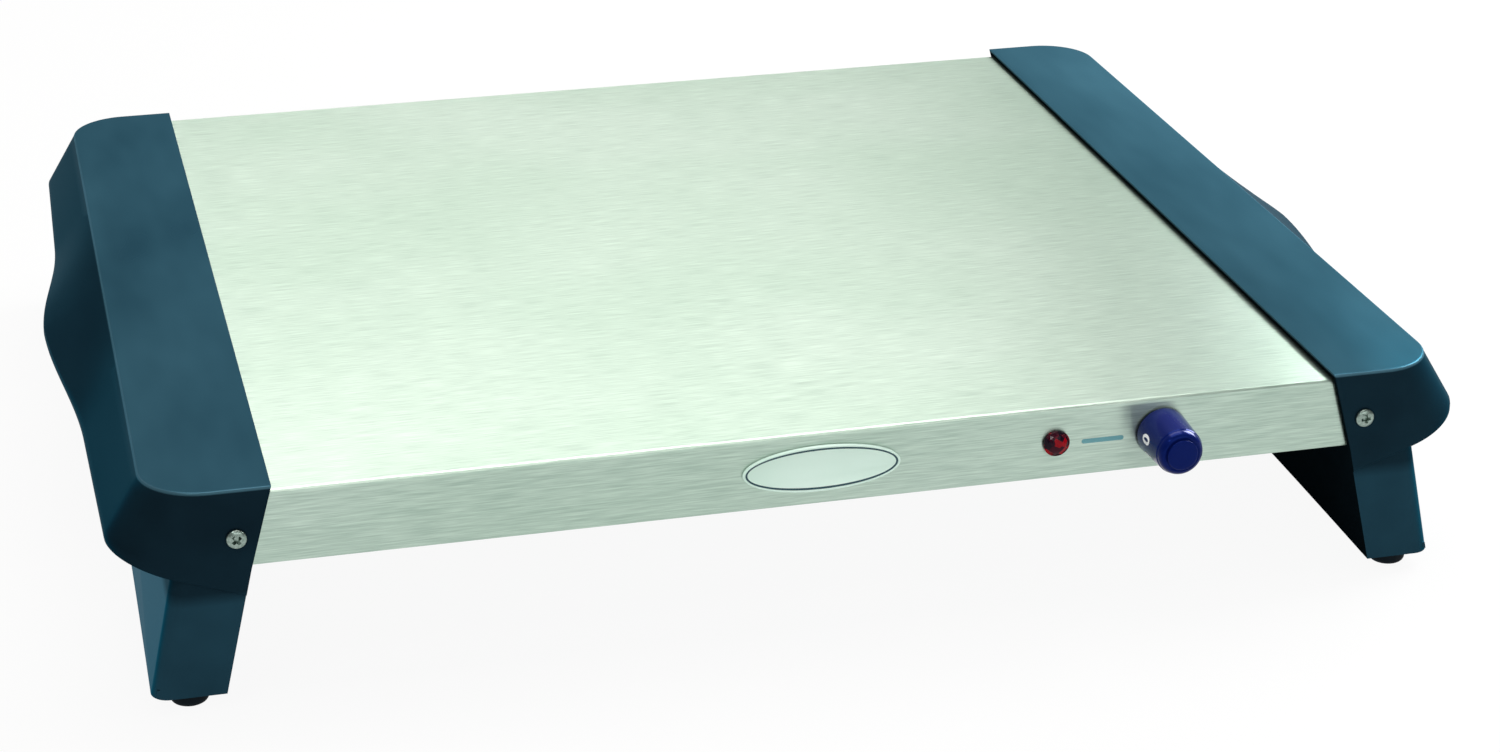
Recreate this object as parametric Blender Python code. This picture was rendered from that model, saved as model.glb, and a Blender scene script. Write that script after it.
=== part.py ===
"""Electric food warmer tray: a folded stainless tray carried between two moulded end caps.

Metres, +Z up, +X to the right, the control knob at the front (-Y). The feet stand on z = 0.
Each end cap is drawn in its own coordinates. There u runs outwards from its inner top edge, and y and z
are the tray's.
"""

import math

import bmesh
import bpy
from mathutils import Matrix, Vector

# Clearances and overruns
FIT = 0.0003  # between pieces that touch
CAP_FIT = 0.00045  # tray front to the inside of a cap's front wall
CAP_TOP_FIT = 0.0008  # heated surface to the cap's lid over it
HOLE_FIT = 0.0003  # around shanks, studs and stems
OVERRUN = 0.004  # how far a cutting shape runs past what it cuts
KEY_DEPTH = 0.0008  # how far a web or post is set into the wall that carries it

# Tray
HEATED_HEIGHT = 0.100  # heated surface above the table
STEEL_WIDTH = 0.480  # steel seen between the end caps
TRAY_DEPTH = 0.4967
TRAY_HEIGHT = 0.0341
TRAY_HIDDEN = 0.028  # tray length inside each cap
SHEET = 0.0009
TRAY_BEND = 0.002
LIP_BEND = 0.0013
LIP_WIDTH = 0.014

# End cap
CAP_RISE = 0.0035  # cap top above the heated surface
CAP_WALL = 0.0025
CAP_TOP_WIDTH = 0.054
CAP_CORNER_RADIUS = 0.028
CAP_EDGE_ROUND = 0.0012
SKIRT_FLARE = 0.0156  # how much wider the skirt is at its lower edge
SKIRT_DROP = 0.050  # cap top to the skirt's lower edge at the inner end of the front
SKIRT_DROP_REACH = 0.014  # where that is measured, outwards from the inner top edge
SKIRT_RISE_SHARE = 0.36  # rise of the lower edge for each length outwards
SKIRT_EDGE_UPRIGHT = 0.0035  # upright band along the lower edge
HANDLE_SWELL = 0.0134  # how far the handle stands out at its middle
HANDLE_HALF_LENGTH = 0.122
HANDLE_HUMP_SHARE = 0.65
INNER_SPLAY_TRAY = 0.0104  # inner edge moves outwards this far down to the tray's bottom
INNER_SPLAY_LEG = 0.0138  # and this far more down to the leg's end
LEG_CLEARANCE = 0.0072  # leg's end above the table, at the front and rear
LEG_TOP_WIDTH = 0.036
LEG_OUTER_SPLAY = 0.0203
LEG_INSET = 0.001  # leg's front behind the skirt's front
LEG_CORNER_RADIUS = 0.008
LEG_ARCH = 0.0058
RIB_THICKNESS = 0.002
RIB_COUNT = 7
RIB_LEG_GAP = 0.010  # ribs end this far above the leg's end
CAP_CORNER_STEPS = 7
CAP_SIDE_STEPS = 28

# Feet
FOOT_RADIUS = 0.0085
FOOT_REACH = 0.0395  # outwards from the cap's inner top edge
FOOT_FROM_END = 0.0123  # foot's centre behind the leg's front
FOOT_ROUND = 0.0025
FOOT_STEM_RADIUS = 0.0028
FOOT_BULB_RADIUS = 0.0040
FOOT_BULB_HEIGHT = 0.0045
FOOT_WEB_THICKNESS = 0.003
FOOT_WEB_RECESS = 0.0014  # web above the leg's end
FOOT_WEB_LENGTH = 0.027

# Cap screws, through each cap's front and rear walls into the tray
CAP_SCREW_REACH = 0.016
CAP_SCREW_DROP = 0.019  # below the heated surface
SCREW_HEAD_RADIUS = 0.0044
SCREW_HEAD_HEIGHT = 0.0024
SCREW_RADIUS = 0.0020
SCREW_LENGTH = 0.0095
NUT_WIDTH = 0.007  # across flats
NUT_HEIGHT = 0.0032

# Control knob, thermostat and pilot lamp on the tray's front
CONTROL_DROP = 0.0165
KNOB_INSET = 0.0815  # knob's axis inside the seen steel's end
KNOB_GAP = 0.0012
KNOB_LENGTH = 0.0255
KNOB_REAR_RADIUS = 0.0119
KNOB_FRONT_RADIUS = 0.0104
KNOB_CHAMFER = 0.0016
KNOB_FACE_RADIUS = 0.0076
KNOB_FACE_STEP = 0.0006
KNOB_WALL = 0.0020
KNOB_HUB_RADIUS = 0.0055
KNOB_HUB_RECESS = 0.0045
SHAFT_RADIUS = 0.0030
SHAFT_FLAT = 0.0010  # depth of the flat
SHAFT_GRIP = 0.0130  # length inside the knob
CLIP_THICKNESS = 0.0004
CLIP_LENGTH = 0.0090
BUSHING_RADIUS = 0.0047
BUSHING_REACH = 0.0040  # ahead of the tray's front
BUSHING_NUT_WIDTH = 0.0125
BUSHING_NUT_HEIGHT = 0.0022
THERMOSTAT_WIDTH = 0.030
THERMOSTAT_HEIGHT = 0.022
THERMOSTAT_DEPTH = 0.015
THERMOSTAT_TAB_WIDTH = 0.0063
THERMOSTAT_TAB_LENGTH = 0.007
LAMP_GAP = 0.050  # lamp's axis to the knob's
LENS_RADIUS = 0.0058
LENS_RIM = 0.0012
LENS_RISE = 0.0038
LENS_STEM_RADIUS = 0.0040
LENS_STEM_LENGTH = 0.0060
LENS_WALL = 0.0009
LAMP_HOLDER_RADIUS = 0.0048
LAMP_HOLDER_LENGTH = 0.014
LAMP_CLIP_RADIUS = 0.0085
LAMP_CLIP_THICKNESS = 0.0006

# Plain oval plate at the middle of the front
PLATE_WIDTH = 0.072
PLATE_HEIGHT = 0.022
PLATE_THICKNESS = 0.0013
PLATE_RIM = 0.0016
PLATE_FIELD_DEPTH = 0.0004
PLATE_BEVEL = 0.0005
PLATE_STUD_SPACING = 0.044
PLATE_STUD_RADIUS = 0.0014
PLATE_STUD_LENGTH = 0.0048
PUSH_NUT_RADIUS = 0.0042
PUSH_NUT_THICKNESS = 0.0008

# Heating stack under the tray's top
STACK_INSET = 0.025  # stack's side inside the seen steel's end
STACK_WALL_GAP = 0.03335  # stack's front to the tray's front
SPREADER_THICKNESS = 0.0012
STACK_GAP = 0.0003
ELEMENT_RADIUS = 0.0032
ELEMENT_ROWS = 6
ELEMENT_EDGE_GAP = 0.050  # outer rows and the rows' bends start this far inside the stack
ELEMENT_BEND_STEPS = 8
ELEMENT_TAIL = 0.007  # past the shield's wall
CROSSBAR_WIDTH = 0.016
CROSSBAR_THICKNESS = 0.0012
STUD_EDGE_GAP = 0.017  # studs inside the stack's front
STUD_RADIUS = 0.0020
STUD_LENGTH = 0.0280
BLANKET_THICKNESS = 0.012
BLANKET_EDGE_GAP = 0.0005
SHIELD_SHEET = 0.0008
SHIELD_WALL = 0.010

# Bottom cover
COVER_SIDE_GAP = 0.004  # cover's end to the cap's leg
COVER_LIP_OVERLAP = 0.0100
COVER_SCREW_INSET = 0.040  # outer cover screws inside the seen steel's end
COVER_SCREW_RADIUS = 0.0017
COVER_SCREW_HEAD_RADIUS = 0.0036
COVER_SCREW_HEAD_HEIGHT = 0.0020
COVER_SCREW_LENGTH = 0.0060
BEAD_WIDTH = 0.010
BEAD_HEIGHT = 0.0020
BEAD_COUNT = 3
BEAD_END_GAP = 0.030
VENT_LENGTH = 0.040
VENT_WIDTH = 0.004
VENT_PITCH = 0.014
VENT_COUNT = 5

# Supply side: rear gland, terminal block, earth stud, fuse and wires
GLAND_INSET = 0.040  # gland's axis inside the seen steel's end
GLAND_FLANGE_RADIUS = 0.0100
GLAND_FLANGE_THICKNESS = 0.0030
GLAND_BODY_RADIUS = 0.0075
GLAND_BORE_RADIUS = 0.0042
GLAND_BODY_LENGTH = 0.0110
GLAND_NUT_WIDTH = 0.0200
GLAND_NUT_HEIGHT = 0.0040
BLOCK_WIDTH = 0.030
BLOCK_DEPTH = 0.016
BLOCK_HEIGHT = 0.014
BLOCK_GAP = 0.044  # middle of the block to the gland's axis
BLOCK_WALL_GAP = 0.0060  # block's back to the tray's rear wall
BLOCK_WELL_RADIUS = 0.0018
BLOCK_WELL_DEPTH = 0.0030
EARTH_GAP = 0.038  # earth stud to the middle of the block
FUSE_INSET = 0.085  # middle of the fuse ahead of the stack's rear
FUSE_RADIUS = 0.0025
FUSE_LENGTH = 0.014
FUSE_CLAMP_WIDTH = 0.010
FUSE_CLAMP_THICKNESS = 0.0008
FUSE_CLAMP_LEG = 0.0045  # above the fuse's centre
WIRE_RADIUS = 0.0012
WIRE_LANE = 0.004  # between wires that run side by side
WIRE_BEND = 0.025
WIRE_DROP = 0.010  # straight run at a wire's ends
WIRE_STEPS = 4  # points in each stretch of a wire

# Places that follow from the sizes above
TRAY_BOTTOM = HEATED_HEIGHT - TRAY_HEIGHT
TRAY_FRONT = TRAY_DEPTH / 2
CAP_X = STEEL_WIDTH / 2
KNOB_X = CAP_X - KNOB_INSET
LAMP_X = KNOB_X - LAMP_GAP
GLAND_X = CAP_X - GLAND_INSET
BLOCK_X = GLAND_X - BLOCK_GAP
EARTH_X = BLOCK_X - EARTH_GAP
TRAY_END = CAP_X + TRAY_HIDDEN
CAP_TOP = HEATED_HEIGHT + CAP_RISE
CAP_FRONT = TRAY_FRONT + CAP_FIT + CAP_WALL
LEG_FRONT = CAP_FRONT - LEG_INSET
LEDGE = TRAY_BOTTOM - FIT
CONTROL_Z = HEATED_HEIGHT - CONTROL_DROP
KNOB_REAR = TRAY_FRONT + KNOB_GAP
KNOB_FACE = KNOB_REAR + KNOB_LENGTH
PANEL_INSIDE = TRAY_FRONT - SHEET
SPREADER_TOP = HEATED_HEIGHT - SHEET - STACK_GAP
SPREADER_BOTTOM = SPREADER_TOP - SPREADER_THICKNESS
ELEMENT_Z = SPREADER_BOTTOM - STACK_GAP - ELEMENT_RADIUS
CROSSBAR_TOP = ELEMENT_Z - ELEMENT_RADIUS - STACK_GAP
CROSSBAR_BOTTOM = CROSSBAR_TOP - CROSSBAR_THICKNESS
BLANKET_TOP = CROSSBAR_BOTTOM - STACK_GAP
BLANKET_BOTTOM = BLANKET_TOP - BLANKET_THICKNESS
SHIELD_TOP = BLANKET_BOTTOM - STACK_GAP
SHIELD_BOTTOM = SHIELD_TOP - SHIELD_SHEET
STACK_HALF_X = CAP_X - STACK_INSET
STACK_HALF_Y = TRAY_FRONT - STACK_WALL_GAP
ELEMENT_HALF_X = STACK_HALF_X - ELEMENT_EDGE_GAP
ELEMENT_HALF_Y = STACK_HALF_Y - ELEMENT_EDGE_GAP
ELEMENT_ROW_PITCH = 2 * ELEMENT_HALF_Y / (ELEMENT_ROWS - 1)
STUD_X = CAP_X / 2
STUD_Y = STACK_HALF_Y - STUD_EDGE_GAP
FUSE_Y = STACK_HALF_Y - FUSE_INSET
COVER_TOP = TRAY_BOTTOM - FIT
COVER_BOTTOM = COVER_TOP - SHEET
COVER_HALF_LENGTH = CAP_X + INNER_SPLAY_TRAY - COVER_SIDE_GAP
COVER_HALF_DEPTH = TRAY_FRONT - LIP_WIDTH + COVER_LIP_OVERLAP
COVER_SCREW_X = CAP_X - COVER_SCREW_INSET
COVER_SCREW_Y = COVER_HALF_DEPTH - COVER_LIP_OVERLAP / 2
BEAD_PITCH = 2 * COVER_HALF_DEPTH / (BEAD_COUNT + 1)
VENT_X = CAP_X / 2
GLAND_Z = TRAY_BOTTOM + TRAY_HEIGHT / 2
FRONT_REACH = KNOB_FACE + KNOB_FACE_STEP
REAR_REACH = max(TRAY_FRONT + GLAND_FLANGE_THICKNESS, CAP_FRONT + SCREW_HEAD_HEIGHT) + FIT
ORIGIN_SHIFT = (FRONT_REACH - REAR_REACH) / 2
WIRE_FLOOR = TRAY_BOTTOM + SHEET + 3 * WIRE_RADIUS
WIRE_SIDE = (STACK_HALF_X + TRAY_END) / 2


def clear_scene():
    for thing in list(bpy.data.objects):
        bpy.data.objects.remove(thing, do_unlink=True)


def material(name, colour, roughness, metallic=0.0, transmission=0.0):
    """A Principled material; the colour is linear."""
    made = bpy.data.materials.new(name)
    made.use_nodes = True
    shader = made.node_tree.nodes["Principled BSDF"]
    shader.inputs["Base Color"].default_value = (*colour, 1.0)
    shader.inputs["Roughness"].default_value = roughness
    shader.inputs["Metallic"].default_value = metallic
    shader.inputs["Transmission Weight"].default_value = transmission
    made.diffuse_color = (*colour, 1.0)
    return made


def place(name, mesh, finish, parent):
    """A new object in the scene that carries the mesh."""
    mesh.materials.clear()
    mesh.materials.append(finish)
    thing = bpy.data.objects.new(name, mesh)
    bpy.context.scene.collection.objects.link(thing)
    thing.parent = parent
    return thing


def smooth(mesh, angle=math.radians(35)):
    mesh.shade_smooth()
    mesh.set_sharp_from_angle(angle=angle)


def mesh_of(shape):
    """The bmesh as a mesh with its faces pointing out."""
    bmesh.ops.recalc_face_normals(shape, faces=shape.faces)
    mesh = bpy.data.meshes.new("shape")
    shape.to_mesh(mesh)
    shape.free()
    return mesh


def loft(rings):
    """A closed solid through rings of points, each ring with as many points as the first."""
    shape = bmesh.new()
    rows = [[shape.verts.new(point) for point in ring] for ring in rings]
    count = len(rows[0])
    for lower, upper in zip(rows, rows[1:]):
        for i in range(count):
            j = (i + 1) % count
            shape.faces.new((lower[i], lower[j], upper[j], upper[i]))
    shape.faces.new(rows[0])
    shape.faces.new(list(reversed(rows[-1])))
    return mesh_of(shape)


def box(low, high):
    """An upright box between two opposite corners."""
    shape = bmesh.new()
    bmesh.ops.create_cube(shape, size=1.0)
    for vert in shape.verts:
        for axis in range(3):
            middle = (low[axis] + high[axis]) / 2
            vert.co[axis] = middle + vert.co[axis] * (high[axis] - low[axis])
    return mesh_of(shape)


def prism_along_x(outline, start, end):
    """A straight solid along X over an outline of (y, z) points."""
    return loft([[(x, y, z) for y, z in outline] for x in (start, end)])


def prism_along_y(outline, start, end):
    """A straight solid along Y over an outline of (x, z) points."""
    return loft([[(x, y, z) for x, z in outline] for y in (start, end)])


def prism_along_z(outline, start, end):
    """A straight solid along Z over an outline of (x, y) points."""
    return loft([[(x, y, z) for x, y in outline] for z in (start, end)])


def turned(profile, steps=16):
    """A solid of revolution about Z from a closed run of (radius, height) points."""
    shape = bmesh.new()
    rows = []
    for radius, height in profile:
        angles = [2 * math.pi * i / steps for i in range(steps if radius else 1)]
        rows.append([shape.verts.new((radius * math.cos(a), radius * math.sin(a), height)) for a in angles])
    for one, other in zip(rows, rows[1:] + rows[:1]):
        if len(one) == len(other) == 1:
            continue
        for i in range(steps):
            j = (i + 1) % steps
            corners = [one[i % len(one)], one[j % len(one)], other[j % len(other)], other[i % len(other)]]
            shape.faces.new(list(dict.fromkeys(corners)))
    return mesh_of(shape)


def rod(radius, start, end, steps=12):
    """A plain round bar about Z."""
    return turned([(0, start), (radius, start), (radius, end), (0, end)], steps)


def tube(inner, outer, start, end, steps=16):
    return turned([(inner, start), (outer, start), (outer, end), (inner, end)], steps)


def hexagon(width):
    """Corners of a hexagon from its width across flats."""
    radius = width / math.sqrt(3)
    return [(radius * math.cos(math.pi * i / 3), radius * math.sin(math.pi * i / 3)) for i in range(6)]


def moved(mesh, place_at, turn=None):
    """The mesh turned, then carried to a place."""
    mesh.transform(Matrix.Translation(place_at) @ (turn or Matrix.Identity(4)))
    return mesh


def facing(direction):
    """A turn that points a shape's +Z along a direction."""
    return Vector(direction).to_track_quat("Z", "Y").to_matrix().to_4x4()


FORWARD = facing((0, -1, 0))
BACKWARD = facing((0, 1, 0))
DOWNWARD = Matrix.Rotation(math.pi, 4, "X")


def joined(first, second, operation):
    """The result of a Boolean between two meshes."""
    body = bpy.data.objects.new("body", first)
    tool = bpy.data.objects.new("tool", second)
    for thing in (body, tool):
        bpy.context.scene.collection.objects.link(thing)
    step = body.modifiers.new("boolean", "BOOLEAN")
    step.operation = operation
    step.solver = "EXACT"
    step.object = tool
    state = bpy.context.evaluated_depsgraph_get()
    result = bpy.data.meshes.new_from_object(body.evaluated_get(state))
    for thing in (body, tool):
        bpy.data.objects.remove(thing, do_unlink=True)
    return result


def cut(mesh, *tools):
    for tool in tools:
        mesh = joined(mesh, tool, "DIFFERENCE")
    return mesh


def fused(mesh, *tools):
    for tool in tools:
        mesh = joined(mesh, tool, "UNION")
    return mesh


def arc(centre, radius, start, end, steps):
    """Points on an arc from one angle to another, in radians."""
    angles = [start + (end - start) * i / steps for i in range(steps + 1)]
    return [(centre[0] + radius * math.cos(a), centre[1] + radius * math.sin(a)) for a in angles]


# End caps


def inner_edge(z):
    """u of the cap's inner edge at a height: splayed beside the tray, then along the leg."""
    if z > TRAY_BOTTOM:
        return INNER_SPLAY_TRAY * (CAP_TOP - z) / (CAP_TOP - TRAY_BOTTOM)
    return INNER_SPLAY_TRAY + INNER_SPLAY_LEG * (TRAY_BOTTOM - z) / (TRAY_BOTTOM - LEG_CLEARANCE)


def leg_outer(z):
    """u of the leg's outer face at a height."""
    return LEG_TOP_WIDTH + LEG_OUTER_SPLAY * (HEATED_HEIGHT - z) / (HEATED_HEIGHT - LEG_CLEARANCE)


def skirt_edge(u):
    """Height of the skirt's lower edge, which lies in one slanting plane."""
    return CAP_TOP - SKIRT_DROP + SKIRT_RISE_SHARE * (u - SKIRT_DROP_REACH)


def handle_swell(y, straight):
    """How far the handle stands out at a place along the side."""
    hump = math.cos(math.pi / 2 * min(abs(y) / HANDLE_HALF_LENGTH, 1)) ** 2
    slope = 1 - min(abs(y) / straight, 1)
    return HANDLE_SWELL * (HANDLE_HUMP_SHARE * hump + (1 - HANDLE_HUMP_SHARE) * slope)


def skirt_outline(width, swell, inset):
    """(u, y) points of the skirt in plan, from the front's inner end round to the rear's."""
    radius = CAP_CORNER_RADIUS - inset
    corner_u = width - CAP_CORNER_RADIUS
    corner_y = CAP_FRONT - CAP_CORNER_RADIUS
    front = arc((corner_u, -corner_y), radius, -math.pi / 2, 0, CAP_CORNER_STEPS)
    rear = arc((corner_u, corner_y), radius, 0, math.pi / 2, CAP_CORNER_STEPS)
    side = []
    for i in range(1, CAP_SIDE_STEPS):
        y = corner_y * (2 * i / CAP_SIDE_STEPS - 1)
        side.append((width - inset + swell * handle_swell(y, corner_y) / HANDLE_SWELL, y))
    ends = [(-OVERRUN, -corner_y - radius)], [(-OVERRUN, corner_y + radius)]
    return ends[0] + front + side + rear + ends[1]


def skirt_solid(top, inset, rounding, overrun):
    """The skirt's form as a solid: a flared band from the cap's top to its slanting lower edge."""
    upper_turn = 1 - math.sqrt(0.5)
    rings = []
    for share in (1, upper_turn, 0) if rounding else (0,):
        drop = rounding * (1 - math.sqrt(1 - (1 - share) ** 2))
        plan = skirt_outline(CAP_TOP_WIDTH, 0, inset + rounding * share)
        rings.append([(u, y, top - drop) for u, y in plan])
    plan = skirt_outline(CAP_TOP_WIDTH + SKIRT_FLARE, HANDLE_SWELL, inset)
    for rise in (SKIRT_EDGE_UPRIGHT, -overrun):
        rings.append([(u, y, skirt_edge(u) + rise) for u, y in plan])
    return loft(rings)


def leg_outline(z, inner, inset):
    """(u, y, z) points of the leg in plan, its two outer corners rounded."""
    u = leg_outer(z) - inset
    y = LEG_FRONT - inset
    radius = LEG_CORNER_RADIUS - inset
    front = arc((u - radius, radius - y), radius, -math.pi / 2, 0, 4)
    rear = arc((u - radius, y - radius), radius, 0, math.pi / 2, 4)
    return [(p, q, z) for p, q in [(inner, -y)] + front + rear + [(inner, y)]]


def leg_solid():
    return loft([leg_outline(z, -OVERRUN, 0) for z in (CAP_TOP - CAP_WALL / 2, LEG_CLEARANCE - OVERRUN)])


def tray_pocket():
    """The space that the end of the tray slides into."""
    reach = TRAY_FRONT + FIT
    top = HEATED_HEIGHT + CAP_TOP_FIT
    wall = CAP_WALL - FIT
    outline = [(-2 * OVERRUN, LEDGE), (leg_outer(LEDGE) - wall, LEDGE)]
    outline += [(leg_outer(top) - wall, top), (-2 * OVERRUN, top)]
    return prism_along_y(outline, -reach, reach)


def leg_pocket():
    """The hollow between the leg's two walls, open below."""
    low = LEG_CLEARANCE - 2 * OVERRUN
    high = LEDGE + CAP_WALL
    outline = []
    for z in (low, TRAY_BOTTOM, high):
        outline.append((inner_edge(z) + CAP_WALL, z))
    for z in (high, low):
        outline.append((leg_outer(z) - CAP_WALL, z))
    reach = LEG_FRONT - CAP_WALL
    return prism_along_y(outline, -reach, reach)


def arch_height(y):
    """Height of the leg's lower edge, a shallow arch between the feet."""
    return LEG_CLEARANCE + LEG_ARCH * max(1 - (y / LEG_FRONT) ** 2, 0)


def arch_cutter():
    steps = 20
    reach = LEG_FRONT + OVERRUN
    outline = [(y, arch_height(y)) for y in (reach * (2 * i / steps - 1) for i in range(steps + 1))]
    outline += [(reach, LEG_CLEARANCE - 3 * OVERRUN), (-reach, LEG_CLEARANCE - 3 * OVERRUN)]
    return prism_along_x(outline, 0, CAP_TOP_WIDTH + SKIRT_FLARE)


def inner_cutter():
    """All that lies on the tray's side of the cap's splayed inner edge."""
    high = CAP_TOP + OVERRUN
    low = LEG_CLEARANCE - 3 * OVERRUN
    outline = [(inner_edge(z), z) for z in (high, TRAY_BOTTOM, low)]
    outline += [(-3 * OVERRUN, low), (-3 * OVERRUN, high)]
    return prism_along_y(outline, -CAP_FRONT - OVERRUN, CAP_FRONT + OVERRUN)


def leg_rib(y):
    """A rib across the leg that also stops the end of the tray."""
    low = LEG_CLEARANCE + RIB_LEG_GAP
    high = CAP_TOP - CAP_WALL + KEY_DEPTH
    ledge = LEDGE - FIT
    set_in = CAP_WALL - KEY_DEPTH
    outline = [(inner_edge(low) + set_in, low), (leg_outer(low) - set_in, low)]
    outline += [(leg_outer(high) - set_in, high), (TRAY_HIDDEN + FIT, high)]
    outline += [(TRAY_HIDDEN + FIT, ledge), (inner_edge(ledge) + set_in, ledge)]
    return prism_along_y(outline, y - RIB_THICKNESS / 2, y + RIB_THICKNESS / 2)


def foot_place(side):
    """(u, y) of a foot; side is -1 at the front and 1 at the rear."""
    return FOOT_REACH, side * (LEG_FRONT - FOOT_FROM_END)


def foot_web(side):
    """The floor in the end of the leg that a foot is pressed into."""
    low = LEG_CLEARANCE + FOOT_WEB_RECESS
    high = low + FOOT_WEB_THICKNESS
    set_in = CAP_WALL - KEY_DEPTH
    outline = [(inner_edge(low) + set_in, low), (leg_outer(low) - set_in, low)]
    outline += [(leg_outer(high) - set_in, high), (inner_edge(high) + set_in, high)]
    outer = LEG_FRONT - set_in
    inner = outer - FOOT_WEB_LENGTH
    return prism_along_y(outline, *sorted((side * inner, side * outer)))


def right_cap_mesh():
    """Skirt, top and leg as one moulding, in the cap's own coordinates."""
    mesh = skirt_solid(CAP_TOP, 0, CAP_EDGE_ROUND, 0)
    mesh = cut(mesh, skirt_solid(CAP_TOP - CAP_WALL, CAP_WALL, 0, OVERRUN))
    mesh = fused(mesh, cut(leg_solid(), leg_pocket(), tray_pocket()))
    mesh = cut(mesh, arch_cutter(), inner_cutter())
    rib_reach = LEG_FRONT - FOOT_WEB_LENGTH
    for i in range(RIB_COUNT):
        mesh = fused(mesh, leg_rib(rib_reach * (2 * (i + 1) / (RIB_COUNT + 1) - 1)))
    for side in (-1, 1):
        u, y = foot_place(side)
        stem = rod(FOOT_STEM_RADIUS + HOLE_FIT, 0, LEG_CLEARANCE + TRAY_HEIGHT / 2)
        mesh = cut(fused(mesh, foot_web(side)), moved(stem, (u, y, 0)))
        hole = rod(SCREW_RADIUS + HOLE_FIT, TRAY_FRONT, CAP_FRONT + OVERRUN)
        at = (CAP_SCREW_REACH, 0, HEATED_HEIGHT - CAP_SCREW_DROP)
        mesh = cut(mesh, moved(hole, at, FORWARD if side < 0 else BACKWARD))
    return mesh


def mirrored(mesh):
    """The mesh reflected in the plane between left and right."""
    shape = bmesh.new()
    shape.from_mesh(mesh)
    bmesh.ops.scale(shape, vec=(-1, 1, 1), verts=shape.verts)
    return mesh_of(shape)


def make_caps(plastic, base):
    right = right_cap_mesh()
    left = mirrored(right)
    for name, mesh, side in (("right_end_cap", right, 1), ("left_end_cap", left, -1)):
        smooth(mesh)
        place(name, mesh, plastic, base).location = (side * CAP_X, 0, 0)


def foot_mesh():
    """A rubber bumper: rounded pad, stem and a bulb that snaps through the web."""
    web = LEG_CLEARANCE + FOOT_WEB_RECESS
    above = web + FOOT_WEB_THICKNESS + FIT
    profile = [(0, 0)]
    corner = arc((FOOT_RADIUS - FOOT_ROUND, FOOT_ROUND), FOOT_ROUND, -math.pi / 2, 0, 4)
    profile += corner
    profile += [(FOOT_RADIUS, web - FIT), (FOOT_STEM_RADIUS, web - FIT), (FOOT_STEM_RADIUS, above)]
    profile += [(FOOT_BULB_RADIUS, above), (FOOT_STEM_RADIUS, above + FOOT_BULB_HEIGHT)]
    profile += [(0, above + FOOT_BULB_HEIGHT)]
    return turned(profile)


def make_feet(rubber, base):
    for end, along in (("left", -1), ("right", 1)):
        for edge, side in (("front", -1), ("rear", 1)):
            u, y = foot_place(side)
            mesh = foot_mesh()
            smooth(mesh)
            place(f"foot_{edge}_{end}", mesh, rubber, base).location = (along * (CAP_X + u), y, 0)


def screw_mesh(radius, length, head_radius, head_height):
    """A pan-head screw along Z, its head above z = 0 and its shank below."""
    edge = head_height / 2
    profile = [(0, -length), (radius, -length), (radius, 0), (head_radius, 0), (head_radius, edge)]
    profile += [(head_radius * math.sqrt(0.5), head_height - edge / 4), (0, head_height)]
    return turned(profile, 12)


def nut_mesh(width, height, bore, steps=10):
    """A hexagon nut along Z from z = 0."""
    hole = rod(bore, -OVERRUN, height + OVERRUN, steps)
    return cut(prism_along_z(hexagon(width), 0, height), hole)


def make_cap_screws(steel, base):
    z = HEATED_HEIGHT - CAP_SCREW_DROP
    for end, along in (("left", -1), ("right", 1)):
        for edge, side, turn in (("front", -1, FORWARD), ("rear", 1, BACKWARD)):
            x = along * (CAP_X + CAP_SCREW_REACH)
            screw = screw_mesh(SCREW_RADIUS, SCREW_LENGTH, SCREW_HEAD_RADIUS, SCREW_HEAD_HEIGHT)
            smooth(screw)
            at = (x, side * (CAP_FRONT + FIT), z)
            place(f"cap_screw_{edge}_{end}", screw, steel, base).matrix_local = Matrix.Translation(at) @ turn
            nut = nut_mesh(NUT_WIDTH, NUT_HEIGHT, SCREW_RADIUS + HOLE_FIT)
            at = (x, side * (PANEL_INSIDE - FIT - NUT_HEIGHT), z)
            place(f"cap_nut_{edge}_{end}", nut, steel, base).matrix_local = Matrix.Translation(at) @ turn


# Tray


def tray_section(inset):
    """(y, z) outline of the folded tray, its long edges bent; inset by the sheet for the inside."""
    outline = []
    for side, first in ((1, 0), (-1, math.pi / 2)):
        radius = TRAY_BEND - inset
        centre = (side * (TRAY_FRONT - TRAY_BEND), HEATED_HEIGHT - TRAY_BEND)
        outline += arc(centre, radius, first, first + math.pi / 2, 3)
    for side, first in ((-1, math.pi), (1, 1.5 * math.pi)):
        radius = LIP_BEND - inset
        centre = (side * (TRAY_FRONT - LIP_BEND), TRAY_BOTTOM + LIP_BEND)
        outline += arc(centre, radius, first, first + math.pi / 2, 2)
    return outline


def stud_places():
    """(x, y) of the four studs welded under the tray's top."""
    for x in (-STUD_X, STUD_X):
        for y in (-STUD_Y, STUD_Y):
            yield x, y


def cover_screw_places():
    for x in (-COVER_SCREW_X, 0, COVER_SCREW_X):
        for y in (-COVER_SCREW_Y, COVER_SCREW_Y):
            yield x, y


def block_place():
    """Middle of the terminal block, under the tray's top at the rear."""
    top = HEATED_HEIGHT - SHEET - FIT
    y = PANEL_INSIDE - BLOCK_WALL_GAP - BLOCK_DEPTH / 2
    return BLOCK_X, y, top - BLOCK_HEIGHT / 2


def panel_hole(x, z, radius, turn, steps=16):
    """A cutter through the tray's front or rear at a place."""
    return moved(rod(radius, TRAY_FRONT - OVERRUN, TRAY_FRONT + OVERRUN, steps), (x, 0, z), turn)


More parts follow.
